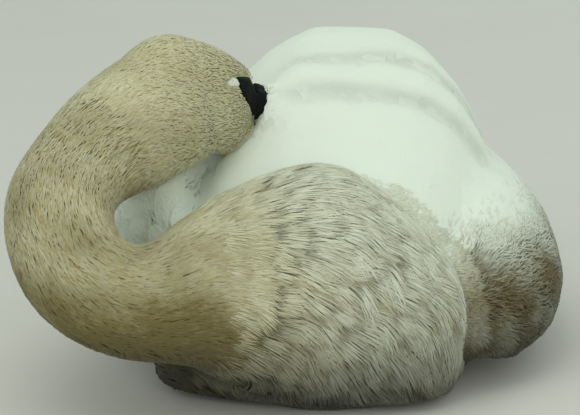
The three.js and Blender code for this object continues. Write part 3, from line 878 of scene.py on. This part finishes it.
class SWAN_OT_bill(bpy.types.Operator):
    """Makes the black bare face, the orange bill with its nostrils, and the nail"""

    bl_idname = "swan.bill"
    bl_label = "Bill and bare face"

    def execute(self, context):
        colours = context.scene.swan_colours
        black = Finish("black_skin", Roughness=0.5, Specular_IOR_Level=0.08)
        cells = black.noise(black.place(), 900.0, detail=2.0)
        ripples = black.noise(black.place((1.0, 1.0, 2.4)), 160.0)
        lighter = tuple(1.9 * part for part in colours.skin_black[:3]) + (1,)
        black.feed("Base Color", black.mix(cells * 0.8, colours.skin_black, lighter))
        black.feed("Roughness", ripples * 0.3 + 0.4)
        black.bump(cells + ripples * 1.4, 0.5, 0.4)
        orange = Finish("orange_horn", Roughness=0.38, Coat_Weight=0.15)
        mottle = orange.noise(orange.place(), 90.0)
        grain = orange.noise(orange.place((0.6, 2.0, 2.0)), 420.0)
        paler = paint(228, 140, 84)
        horn = orange.mix(mottle * 0.6, colours.bill_orange, paler)
        ends = {0: orange.place(), 1: tuple(BILL_AXIS)}
        forward = orange.node("ShaderNodeVectorMath", {"operation": "DOT_PRODUCT"}, ends, "Value")
        past_base = (forward - (BILL_BASE @ BILL_AXIS + BLACK_REACH) * MM) * 600.0 + mottle
        orange.feed("Base Color", orange.mix(past_base.clamped(), colours.skin_black, horn))
        orange.feed("Roughness", grain * 0.25 + 0.28)
        orange.bump(grain + mottle, 0.3, 0.3)

        def nostrils(points, normals):
            forward, right, up = in_head(points)
            pit = np.hypot((forward - 37) / 5.5, (up - 3.5) / 2.0)
            pit = np.exp(-(pit**4)) * (np.abs(right) > 5)
            ridge = 0.6 * np.exp(-((right / 3) ** 2)) * ramp(forward, 10, 25) * (up > 0)
            return points - normals * (1.4 * pit - ridge)[:, None]

        def under_cheek(points, normals):
            forward, right, up = in_head(points)
            covered = ~inside_outline(forward, up, LORE_OUTLINE) & (forward < 8) & (np.abs(right) > 9)
            flatter = 1.6 * np.exp(-(((forward - 8) / 7) ** 2)) * ramp(up, 8, 15)
            return points - normals * (1.6 * covered)[:, None] - HEAD_UP * flatter[:, None]

        def beside_knob(points):
            forward, _, up = in_head(points)
            return (forward > -9) & (forward < 9) & (up > 2)

        nodes = ("lore_left", "lore_right", "bill_base")
        finished_copy("bare_face", nodes, 0.9, 12, black.material, under_cheek, beside_knob)
        finished_copy("upper_bill", ("bill_upper",), 0.8, 3, orange.material, nostrils)
        finished_copy("bill_tip", ("bill_nail",), 0.6, 2, black.material)
        finished_copy("lower_bill", ("bill_lower",), 0.7, 2, black.material)
        return {"FINISHED"}


class SWAN_OT_eyelids(bpy.types.Operator):
    """Makes the closed lids, each with its fine slit"""

    bl_idname = "swan.eyelids"
    bl_label = "Eyelids"

    def execute(self, context):
        lid = Finish("closed_lid", Roughness=0.55)
        wrinkles = lid.noise(lid.place((1.0, 1.0, 3.0)), 700.0)
        shaded = paint(168, 170, 148)
        lid.feed("Base Color", lid.mix(wrinkles * 0.55, context.scene.swan_colours.lid, shaded))
        lid.bump(wrinkles, 0.4, 0.3)

        def slit(points, normals):
            forward, right, up = in_head(points)
            line = EYE[2] - 1.6 + 0.03 * (forward - EYE[0]) ** 2
            points = points - normals * (0.8 * np.exp(-(((up - line) / 0.6) ** 2)))[:, None]
            longer = (LID_HALF_LENGTH / EYE_RADIUS - 1) * (forward - EYE[0]) + LID_FORWARD - EYE[0]
            lower = (LID_HALF_HEIGHT / EYE_RADIUS - 1) * (up - EYE[2]) + LID_UP - EYE[2]
            moves = (longer, 0.5 * np.sign(right), lower)
            return points + sum(m[:, None] * way for m, way in zip(moves, (BILL_AXIS, HEAD_RIGHT, HEAD_UP)))

        for side in ("right", "left"):
            finished_copy(f"lid_{side}", (f"eye_{side}",), 0.5, 2, lid.material, slit)
        return {"FINISHED"}


class SWAN_OT_feet(bpy.types.Operator):
    """Makes the webbed feet and the legs, tucked under the belly"""

    bl_idname = "swan.feet"
    bl_label = "Legs and feet"

    def execute(self, context):
        scaly = Finish("leg_scales", Roughness=0.55)
        settings = {"feature": "F1"}
        inputs = {"Vector": scaly.place(), "Scale": 420.0}
        scales = scaly.node("ShaderNodeTexVoronoi", settings, inputs, output="Distance")
        wear = scaly.noise(scaly.place(), 60.0)
        worn = paint(74, 74, 70)
        scaly.feed("Base Color", scaly.mix(scales * wear * 1.6, context.scene.swan_colours.leg, worn))
        scaly.bump(scales, 0.5, 0.5)

        def toes(side):
            def shape(points, _normals):
                plan = points[:, :2] - np.array((side * 52.0, 105.0))
                ridge = np.zeros(len(points))
                for angle, reach in ((-19, 110), (1, 133), (17, 123)):
                    way = np.array((side * math.sin(math.radians(angle)), -math.cos(math.radians(angle))))
                    along = np.clip(plan @ way, 0, reach)
                    off = np.linalg.norm(plan - along[:, None] * way, axis=1)
                    knuckle = 5.2 + 0.9 * np.cos(along * 2 * math.pi / 34) - 1.8 * along / reach
                    ridge = np.maximum(ridge, np.sqrt(np.clip(1 - (off / knuckle) ** 2, 0, 1)))
                points = points.copy()
                points[:, 2] *= np.where(points[:, 2] > 1.6, 0.42 + 0.58 * ridge, 1)
                return points

            return shape

        for side, name in ((1, "left"), (-1, "right")):
            nodes = (f"foot_{name}",)
            finished_copy(f"webbed_foot_{name}", nodes, 1.5, 1, scaly.material, toes(side))
            finished_copy(f"shank_{name}", (f"leg_{name}",), 1.6, 3, scaly.material)
        return {"FINISHED"}


SHORT_TUFT = ((0, 0.6), (0.5, 1.0), (1, 0.0))
SMALL_TUFT = ((0, 0.55), (0.35, 1.0), (0.7, 0.8), (1, 0.0))
VANE = (
    (0, 0.35), (0.14, 0.66), (0.36, 0.95), (0.62, 1.0), (0.78, 0.92), (0.9, 0.7), (0.97, 0.4), (1, 0.0),
)
QUILL = ((0, 0.3), (0.12, 0.7), (0.3, 0.95), (0.55, 1.0), (0.78, 0.9), (0.9, 0.66), (0.97, 0.36), (1, 0.0))


class SWAN_OT_head_feathers(bpy.types.Operator):
    """Lays the smallest feathers over the head, from the bill back"""

    bl_idname = "swan.head_feathers"
    bl_label = "Head feathers"

    def execute(self, context):
        rng = np.random.default_rng(21)
        front = forms["front"]
        roots, _ = front.scatter(HEAD_SPACING, 22)
        share, _ = along_neck(roots)
        forward = in_head(roots)[0]
        keep = ((share > 0.88) | (forward > -70)) & (share > 0.8) & ~bare_skin(roots)
        roots = roots[keep]
        forward = in_head(roots)[0]
        sizes = context.scene.swan_measures
        longest = sizes.head_feather / MM * smooth([(-140, 1.7), (-80, 1.3), (-30, 1.0), (-4, 0.6)])(forward)
        lengths = longest * rng.uniform(0.8, 1.2, len(roots))
        tuft = Pattern(3, SHORT_TUFT)
        swirl = 0.3 * waves(roots, 26, 5)
        lines = blade_lay(
            front, roots, lie_in_front, lengths, rng, tuft, deep=1.2, lift=0.35, turn=0.15, curls=swirl
        )
        widths = smooth([(-140, 0.85), (-70, 0.68), (-10, 0.6)])(forward) * rng.uniform(0.8, 1.2, len(roots))
        rolls = rng.normal(0, 0.2, len(roots))
        points = copies_of(tuft, *lines, widths, widths * 0.4, rolls)
        up = in_head(roots)[2]
        # Painted light on the cheek: its tufts get lighter, creamier tones, as if lit from below by the
        # white back.
        cheek_painted_light = 0.35 * ramp(forward, -75, -35) * ramp(-up, -18, 0)
        notes = noted(roots, True, cheek_painted_light + (1 - cheek_painted_light) * rng.random(len(roots)), lengths)
        finish = plumage_finish("head_plumage", context.scene.swan_colours, root_shadow=0.25)
        feather_piece("head_feathers", tuft, points, notes, roots, finish)
        return {"FINISHED"}


class SWAN_OT_neck_feathers(bpy.types.Operator):
    """Lays narrow pointed feathers down the neck"""

    bl_idname = "swan.neck_feathers"
    bl_label = "Neck feathers"

    def execute(self, context):
        rng = np.random.default_rng(31)
        front = forms["front"]
        roots, _ = front.scatter(NECK_SPACING, 32)
        share, _ = along_neck(roots)
        forward = in_head(roots)[0]
        thin = rng.random(len(roots)) < 0.5 + 0.5 * ramp(share, 0.27, 0.42)
        keep = thin & (share < 0.91) & (forward < -60) & (forms["body"].nearest(roots)[2] > -8)
        roots = roots[keep]
        share = share[keep]
        sizes = context.scene.swan_measures
        shorter = smooth([(0.42, 1.3), (0.6, 1.05), (0.8, 0.95), (0.92, 0.8)])(share)
        longest = sizes.neck_feather / MM * shorter
        lengths = longest * rng.uniform(0.75, 1.25, len(roots))
        tuft = Pattern(3, SHORT_TUFT)
        swirl = 0.25 * waves(roots, 40, 7)
        lift = -0.3 + 0.9 * ramp(share, 0.3, 0.42)
        lines = blade_lay(
            front, roots, lie_in_front, lengths, rng, tuft, deep=1.8, lift=lift, turn=0.12, curls=swirl
        )
        widths = lengths * 0.055 * rng.uniform(0.8, 1.25, len(roots))
        rolls = rng.normal(0, 0.2, len(roots))
        points = copies_of(tuft, *lines, widths, widths * 0.45, rolls)
        notes = noted(roots, True, rng.random(len(roots)), lengths)
        finish = plumage_finish("neck_plumage", context.scene.swan_colours, streaks=1.4, root_shadow=0.35)
        feather_piece("neck_feathers", tuft, points, notes, roots, finish)
        return {"FINISHED"}


def fans(form, roots, way, reach, rng, pattern, barbs, spread, width, deep, lift, base=4.0):
    """Soft open feathers, each a fan of fine barbs round one root: the barbs' points and numbers."""
    count = len(roots)
    place = np.linspace(-1, 1, barbs)
    owner = np.repeat(np.arange(count), barbs)
    across = np.tile(place, count) + rng.normal(0, 0.05, count * barbs)
    _, normals, _ = form.nearest(roots)
    ahead = on_surface(way(roots, normals), normals)
    aside = np.cross(ahead, normals)
    back = (0.4 * across**2 + rng.uniform(-0.4, 0.4, count * barbs)) * base
    starts = roots[owner] + aside[owner] * (across * base)[:, None] - ahead[owner] * back[:, None]
    lengths = reach[owner] * (1 - 0.34 * across**2) * (1.08 - 0.4 * rng.random(count * barbs) ** 2)
    turns = spread * across + rng.normal(0, 0.05, count * barbs) + rng.normal(0, 0.14, count)[owner]
    curls = -0.9 * spread * across + rng.normal(0, 0.1, count * barbs) + rng.normal(0, 0.25, count)[owner]
    rise = smooth([(0, 0), (0.35, 0.85), (1, 1)])
    tall = lift * rng.uniform(0.6, 1.3, count)[owner] * (1.15 - 0.75 * across**2)
    heights = [-deep + (deep + tall) * rise(station) for station in pattern.stations]
    lines = lay(form, starts, pattern.stations, lengths, way, heights, turns, curls)
    widths = width * rng.uniform(0.75, 1.25, count * barbs)
    rolls = rng.normal(0, 0.25, count * barbs)
    tones = 0.3 * rng.random(count)[owner] + 0.7 * rng.random(count * barbs)
    return starts, copies_of(pattern, *lines, widths, widths * 0.5, rolls), tones, lengths, across


class SWAN_OT_breast_feathers(bpy.types.Operator):
    """Lays the soft open breast feathers, each a fan of fine barbs"""

    bl_idname = "swan.breast_feathers"
    bl_label = "Breast feathers"

    def execute(self, context):
        rng = np.random.default_rng(41)
        front = forms["front"]
        roots, _ = front.spread(BREAST_SPACING, 42)
        share, _ = along_neck(roots)
        keep = (share < 0.43) & (forms["body"].nearest(roots)[2] > -14)
        roots, share = roots[keep], share[keep]
        sizes = context.scene.swan_measures
        reach = sizes.breast_feather / MM * smooth([(0, 1.1), (0.25, 1), (0.4, 0.75), (0.5, 0.6)])(share)
        reach *= rng.uniform(0.75, 1.2, len(roots))
        barb = Pattern(3, SMALL_TUFT)
        starts, points, tones, lengths, across = fans(
            front, roots, lie_in_front, reach, rng, barb,
            barbs=60, spread=0.3, width=0.45, deep=3.8, lift=1.4, base=10.0,
        )
        notes = noted(starts, True, tones, lengths)
        # Stain and painted shade at the sides of each fan, darker between the feathers; less of it towards
        # the top of the breast and the neck.
        notes["stain_and_shade"] = notes["stain_and_shade"] * (0.4 + 0.6 * across**2) + 0.42 * across**2
        calm = (1 - 0.8 * ramp(starts[:, 2], 130, 190)) * (1 - 0.6 * ramp(along_neck(starts)[0], 0.28, 0.4))
        notes["stain_and_shade"] *= calm
        finish = plumage_finish("breast_plumage", context.scene.swan_colours, streaks=2.0, tips=1.5)
        feather_piece("breast_feathers", barb, points, notes, starts, finish)

        body = forms["body"]

        def at_the_edge(spots):
            x, y, z = spots.T
            near = (x > 40) & (y < 60) & (z > 30) & (z < 205)
            beside = front.nearest(spots[near])[2]
            near[near] = (beside > 0.4) & (beside < 3 + 8 * ramp(x[near], 45, 75))
            return near

        roots, _ = body.spread(FRINGE_SPACING, 43, at_the_edge)
        reach = 14 * rng.uniform(0.85, 1.15, len(roots)) * (0.4 + 0.6 * ramp(roots[:, 0], 40, 70))
        barb = Pattern(3, SHORT_TUFT)
        starts, points, tones, lengths, _ = fans(
            body, roots, lie_off_breast, reach, rng, barb,
            barbs=22, spread=0.12, width=0.42, deep=2.6, lift=0.4,
        )
        notes = noted(starts, False, tones, lengths)
        notes["stain_and_shade"] *= 0.7 + 0.3 * ramp(-starts[:, 2], -120, -80)
        notes["tan"] = notes["tan"] + 0.25 * ramp(starts[:, 0], 45, 75)
        finish = plumage_finish("fringe_plumage", context.scene.swan_colours, streaks=1.5, tips=1.6)
        feather_piece("side_fringe", barb, points, notes, starts, finish)
        return {"FINISHED"}


class SWAN_OT_back_feathers(bpy.types.Operator):
    """Lays broad smooth vanes over the back, the shoulders and the folded wings"""

    bl_idname = "swan.back_feathers"
    bl_label = "Back and wing coverts"

    def execute(self, context):
        rng = np.random.default_rng(51)
        body = forms["body"]
        roots, normals = body.spread(BACK_SPACING, 52)
        low = np.where(under_head(roots), 40, 126 + 8 * waves(roots, 40, 8))
        keep = (roots[:, 2] > low) & (normals[:, 2] > -0.55) & (roots[:, 1] < 405)
        keep &= (roots[:, 1] < 270) | (roots[:, 2] > 150)
        beside = forms["front"].nearest(roots)[2]
        keep &= beside > np.where(roots[:, 2] > 150, 1.2, 4)

        def by_the_breast(spots):
            near = (spots[:, 2] > 122) & (spots[:, 1] < 60) & (along_neck(spots)[0] < 0.4)
            gap = forms["front"].nearest(spots[near])[2]
            near[near] = (gap > 0.8) & (gap < 9)
            return near

        more, _ = body.spread(BREAST_EDGE_SPACING, 53, by_the_breast)
        roots = np.vstack([roots[keep], more])
        beside = np.r_[beside[keep], forms["front"].nearest(more)[2]]
        sizes = context.scene.swan_measures
        lengths = sizes.back_feather / MM * rng.uniform(0.85, 1.15, len(roots))
        lengths *= 1 - 0.35 * ramp(-roots[:, 1], 60, 140)
        vane = Pattern(6, VANE)
        rise = smooth([(0, -4.0), (0.2, -1.4), (1, 0.1)])
        lift = rng.uniform(0, 0.2, len(roots))
        lift -= 0.7 * ramp(-roots[:, 2], -165, -135)
        sunk = 0.25 + 0.75 * ramp(beside, 2, 14)
        heights = [rise(station) * sunk + lift * station for station in vane.stations]
        turns = rng.normal(0, 0.1, len(roots))
        lines = lay(body, roots, vane.stations, lengths, lie_on_body, heights, turns)
        widths = lengths * 0.3
        thick = np.full(len(roots), 0.25)
        points = copies_of(vane, *lines, widths, thick, form=body)
        stray = np.linalg.norm(points - copies_of(vane, *lines, widths, thick), axis=2).max(1)
        calm = stray < STRAY_LIMIT
        points, roots, lengths = points[calm], roots[calm], lengths[calm]
        notes = noted(roots, False, rng.random(len(roots)), lengths)
        _, stain_and_shade, shade = markings(points.reshape(-1, 3), False, np.full(points[:, :, 0].size, 99.0))
        notes["stain_and_shade"] = stain_and_shade.reshape(points.shape[:2])
        notes["shade"] = shade.reshape(points.shape[:2])
        colours = context.scene.swan_colours
        finish = plumage_finish("back_plumage", colours, streaks=0.25, root_shadow=0.1, barbs=0.25)
        feather_piece("back_feathers", vane, points, notes, roots, finish)
        return {"FINISHED"}


class SWAN_OT_flank_feathers(bpy.types.Operator):
    """Lays short curled tufts over the lower wings and flanks, and soft ones under the belly"""

    bl_idname = "swan.flank_feathers"
    bl_label = "Flank and belly feathers"

    def execute(self, context):
        rng = np.random.default_rng(61)
        body = forms["body"]
        roots, _ = body.scatter(FLANK_SPACING, 62)
        uneven = waves(roots, 30, 9)
        x, y, z = roots.T
        beside = forms["front"].nearest(roots)[2]
        hollow = under_head(roots) | ((beside < 12) & (z > 150))
        top = np.where(hollow, 300, 165 + 14 * uneven)
        keep = (rng.random(len(z)) < ramp(top - z, 0, 55)) & (y < 330) & (y > -170) & (z > 12)
        keep &= ((np.abs(x) > np.where(y > 200, 20, 60)) & ((x > 0) | (y > 60))) | hollow
        keep &= beside > np.where(hollow, 0.6, 3)
        roots, hollow = roots[keep], hollow[keep]
        sizes = context.scene.swan_measures
        lengths = sizes.flank_feather / MM * rng.uniform(0.7, 1.3, len(roots))
        tuft = Pattern(3, SHORT_TUFT)
        swirl = 0.8 * waves(roots, 34, 10) + rng.normal(0, 0.35, len(roots))
        swirl *= np.where(hollow, 0.25, 1)
        lift = np.where(hollow, -0.4, 0.6)
        lines = blade_lay(
            body, roots, lie_on_body, lengths, rng, tuft, deep=3.2, lift=lift, turn=0.3, curls=swirl
        )
        widths = lengths * 0.055 * rng.uniform(0.8, 1.2, len(roots))
        points = copies_of(tuft, *lines, widths, widths * 0.5, rng.normal(0, 0.3, len(roots)))
        notes = noted(roots, False, rng.random(len(roots)), lengths)
        colours = context.scene.swan_colours
        finish = plumage_finish("flank_plumage", colours, streaks=1.6, root_shadow=0.9)
        feather_piece("flank_feathers", tuft, points, notes, roots, finish)

        under, normals = body.scatter(BELLY_SPACING, 63)
        keep = (under[:, 2] < 96) & (normals[:, 2] < 0.2)
        keep &= (forms["front"].nearest(under)[2] > 1) & (under[:, 1] > -200)
        under = under[keep]
        reach = sizes.belly_feather / MM * rng.uniform(0.85, 1.15, len(under))
        barb = Pattern(3, SHORT_TUFT)
        starts, points, tones, lengths, _ = fans(
            body, under, lie_on_body, reach, rng, barb,
            barbs=14, spread=0.4, width=1.1, deep=3.5, lift=0.8,
        )
        notes = noted(starts, False, tones, lengths)
        feather_piece("belly_feathers", barb, points, notes, starts, finish)
        return {"FINISHED"}


def quills(pattern, routes, up):
    """Middle lines of long feathers along straight or bent routes of points."""
    middles = []
    for route in routes:
        route = np.array(route, float)
        reach = np.r_[0, np.cumsum(np.linalg.norm(np.diff(route, axis=0), axis=1))]
        share = reach / reach[-1]
        middles.append(np.stack([smooth(np.c_[share, route[:, k]])(pattern.stations) for k in range(3)], 1))
    middles = np.array(middles)
    steps = unit(np.gradient(middles, axis=1))
    ups = np.broadcast_to(np.array(up, float), middles.shape)
    return middles, on_surface(ups, steps), steps


class SWAN_OT_wing_quills(bpy.types.Operator):
    """Lays the long feathers of the folded wings: tertials over the rump, and the crossed primaries"""

    bl_idname = "swan.wing_quills"
    bl_label = "Wing quills"

    def execute(self, context):
        rng = np.random.default_rng(71)
        body = forms["body"]
        colours = context.scene.swan_colours
        finish = plumage_finish("quill_plumage", colours, **QUILL_LOOK)
        quill = Pattern(6, QUILL)
        starts = []
        for side in (1, -1):
            for k in range(TERTIALS):
                starts.append((side * (128 - 6.4 * k), 95 + 15 * k, 165 + 5.5 * k))
        roots = body.nearest(np.array(starts, float))[0]
        lengths = np.tile(np.linspace(175, 120, TERTIALS), 2)
        rise = smooth([(0, 0), (0.2, 0.8), (1, 1)])
        layer = np.tile(np.linspace(0, 2.4, TERTIALS), 2)
        heights = [-5.0 + (6.2 + layer) * rise(station) for station in quill.stations]

        def inwards(points, _normals):
            aim = np.stack([-points[:, 0] * 0.0022, np.ones(len(points)), np.zeros(len(points))], 1)
            return unit(aim)

        lines = lay(body, roots, quill.stations, lengths, inwards, heights)
        count = 2 * TERTIALS
        points = copies_of(quill, *lines, np.full(count, 14.0), np.full(count, 0.8), form=body)
        notes = noted(roots, False, rng.uniform(0.4, 0.9, count), lengths)
        feather_piece("tertials", quill, points, notes, roots, finish)

        for side, name, layer in ((1, "left", 5.0), (-1, "right", -6.0)):
            routes = []
            for k in range(PRIMARIES):
                tip = 470 - 9.0 * k
                spread = side * (5.2 * k)
                height = layer - 1.1 * k
                routes.append((
                    (side * 44 + spread * 0.2, 235, 176 + height * 0.4),
                    (side * 30 + spread * 0.5, 330, 160 + height),
                    (side * 12 + spread * 0.8, 400, 148 + height),
                    (-side * 8 + spread, tip, 133 + height + 0.13 * (470 - tip)),
                ))
            feather = Pattern(6, QUILL)
            lines = quills(feather, routes, (0.12 * side, 0, 1))
            points = copies_of(feather, *lines, np.full(PRIMARIES, 12.5), np.full(PRIMARIES, 0.9))
            tips = lines[0][:, 3]
            notes = noted(tips, False, rng.uniform(0.4, 0.9, PRIMARIES), np.full(PRIMARIES, 220.0))
            title, nodes = f"primary_feathers_{name}", (f"primaries_{name}",)
            feather_piece(title, feather, points, notes, tips, finish, nodes)
        return {"FINISHED"}


class SWAN_OT_tail_feathers(bpy.types.Operator):
    """Lays the fan of tail feathers, the middle ones on top"""

    bl_idname = "swan.tail_feathers"
    bl_label = "Tail feathers"

    def execute(self, context):
        rng = np.random.default_rng(81)
        colours = context.scene.swan_colours
        finish = plumage_finish("tail_plumage", colours, **QUILL_LOOK)
        feather = Pattern(6, QUILL)
        routes = []
        for t in np.linspace(-1, 1, TAIL_QUILLS):
            low = 16 * abs(t) ** 1.5
            routes.append((
                (t * 26, 285, 118 - low * 0.5),
                (t * 50, 370, 108 - low * 0.8),
                (t * 68, 440 - 28 * t * t, 101 - low),
                (t * 72, 517 - 84 * t * t, 98 - low),
            ))
        lines = quills(feather, routes, (0, 0, 1))
        points = copies_of(feather, *lines, np.full(TAIL_QUILLS, 13.0), np.full(TAIL_QUILLS, 0.9))
        middle = lines[0][:, 3]
        tones = rng.uniform(0.4, 0.9, TAIL_QUILLS)
        notes = noted(middle, False, tones, np.full(TAIL_QUILLS, 230.0))
        feather_piece("tail_feathers", feather, points, notes, middle, finish, ("tail",))
        return {"FINISHED"}


class SWAN_OT_stage(bpy.types.Operator):
    """Sets the pale floor, the soft light and the camera"""

    bl_idname = "swan.stage"
    bl_label = "Stage"

    def execute(self, context):
        scene = context.scene
        deselect()
        bpy.ops.mesh.primitive_plane_add(size=FLOOR_SIZE)
        floor = context.object
        floor.name = "floor"
        ground = Finish("studio_floor", Roughness=0.8)
        speckle = ground.noise(ground.place(), 6.0)
        darker = tuple(0.94 * part for part in scene.swan_colours.floor[:3]) + (1,)
        ground.feed("Base Color", ground.mix(speckle, scene.swan_colours.floor, darker))
        floor.data.materials.append(ground.material)
        world = bpy.data.worlds.new("soft_room")
        world.use_nodes = True
        background = world.node_tree.nodes["Background"]
        background.inputs["Color"].default_value = paint(222, 232, 226)
        background.inputs["Strength"].default_value = ROOM_LIGHT
        scene.world = world
        scene.view_settings.view_transform = "Standard"
        for name, place, size, power, tint in LIGHTS:
            bpy.ops.object.light_add(type="AREA", location=place)
            light = context.object
            light.name = name
            light.data.shape = "DISK"
            light.data.size = size
            light.data.energy = power
            light.data.color = paint(*tint)[:3]
            aim = Vector(LIGHT_AIM) - light.location
            light.rotation_euler = aim.to_track_quat("-Z", "Y").to_euler()
        back = Vector((
            math.sin(CAMERA_AZIMUTH) * math.cos(CAMERA_ELEVATION),
            -math.cos(CAMERA_AZIMUTH) * math.cos(CAMERA_ELEVATION),
            math.sin(CAMERA_ELEVATION),
        ))
        bpy.ops.object.camera_add(location=Vector(CAMERA_AIM) + back * CAMERA_AWAY)
        camera = context.object
        camera.name = "camera"
        camera.rotation_euler = (-back).to_track_quat("-Z", "Y").to_euler()
        camera.data.sensor_width = SENSOR_WIDTH
        camera.data.lens = SENSOR_WIDTH * LENS_IN_PIXELS / PICTURE_WIDTH
        scene.camera = camera
        return {"FINISHED"}


CLASSES = (
    SwanMeasures, SwanColours, SWAN_OT_skin, SWAN_OT_bill, SWAN_OT_eyelids, SWAN_OT_feet,
    SWAN_OT_head_feathers, SWAN_OT_neck_feathers, SWAN_OT_breast_feathers, SWAN_OT_back_feathers,
    SWAN_OT_flank_feathers, SWAN_OT_wing_quills, SWAN_OT_tail_feathers, SWAN_OT_stage,
)
STEPS = [kind.bl_idname for kind in CLASSES if hasattr(kind, "bl_idname")]


class SWAN_PT_panel(bpy.types.Panel):
    """Lists the steps and what can be changed"""

    bl_idname = "SWAN_PT_panel"
    bl_label = "Sleeping swan"
    bl_space_type = "VIEW_3D"
    bl_region_type = "UI"
    bl_category = "Swan"

    def draw(self, context):
        for step in STEPS:
            self.layout.operator(step)
        for group in (context.scene.swan_measures, context.scene.swan_colours):
            for name in group.__annotations__:
                self.layout.prop(group, name)


def register():
    for kind in CLASSES + (SWAN_PT_panel,):
        bpy.utils.register_class(kind)
    bpy.types.Scene.swan_measures = bpy.props.PointerProperty(type=SwanMeasures)
    bpy.types.Scene.swan_colours = bpy.props.PointerProperty(type=SwanColours)


def unregister():
    del bpy.types.Scene.swan_colours
    del bpy.types.Scene.swan_measures
    for kind in reversed(CLASSES + (SWAN_PT_panel,)):
        bpy.utils.unregister_class(kind)


def main():
    register()
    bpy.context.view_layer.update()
    for step in STEPS:
        family, name = step.split(".")
        getattr(getattr(bpy.ops, family), name)()


if __name__ == "__main__":
    main()
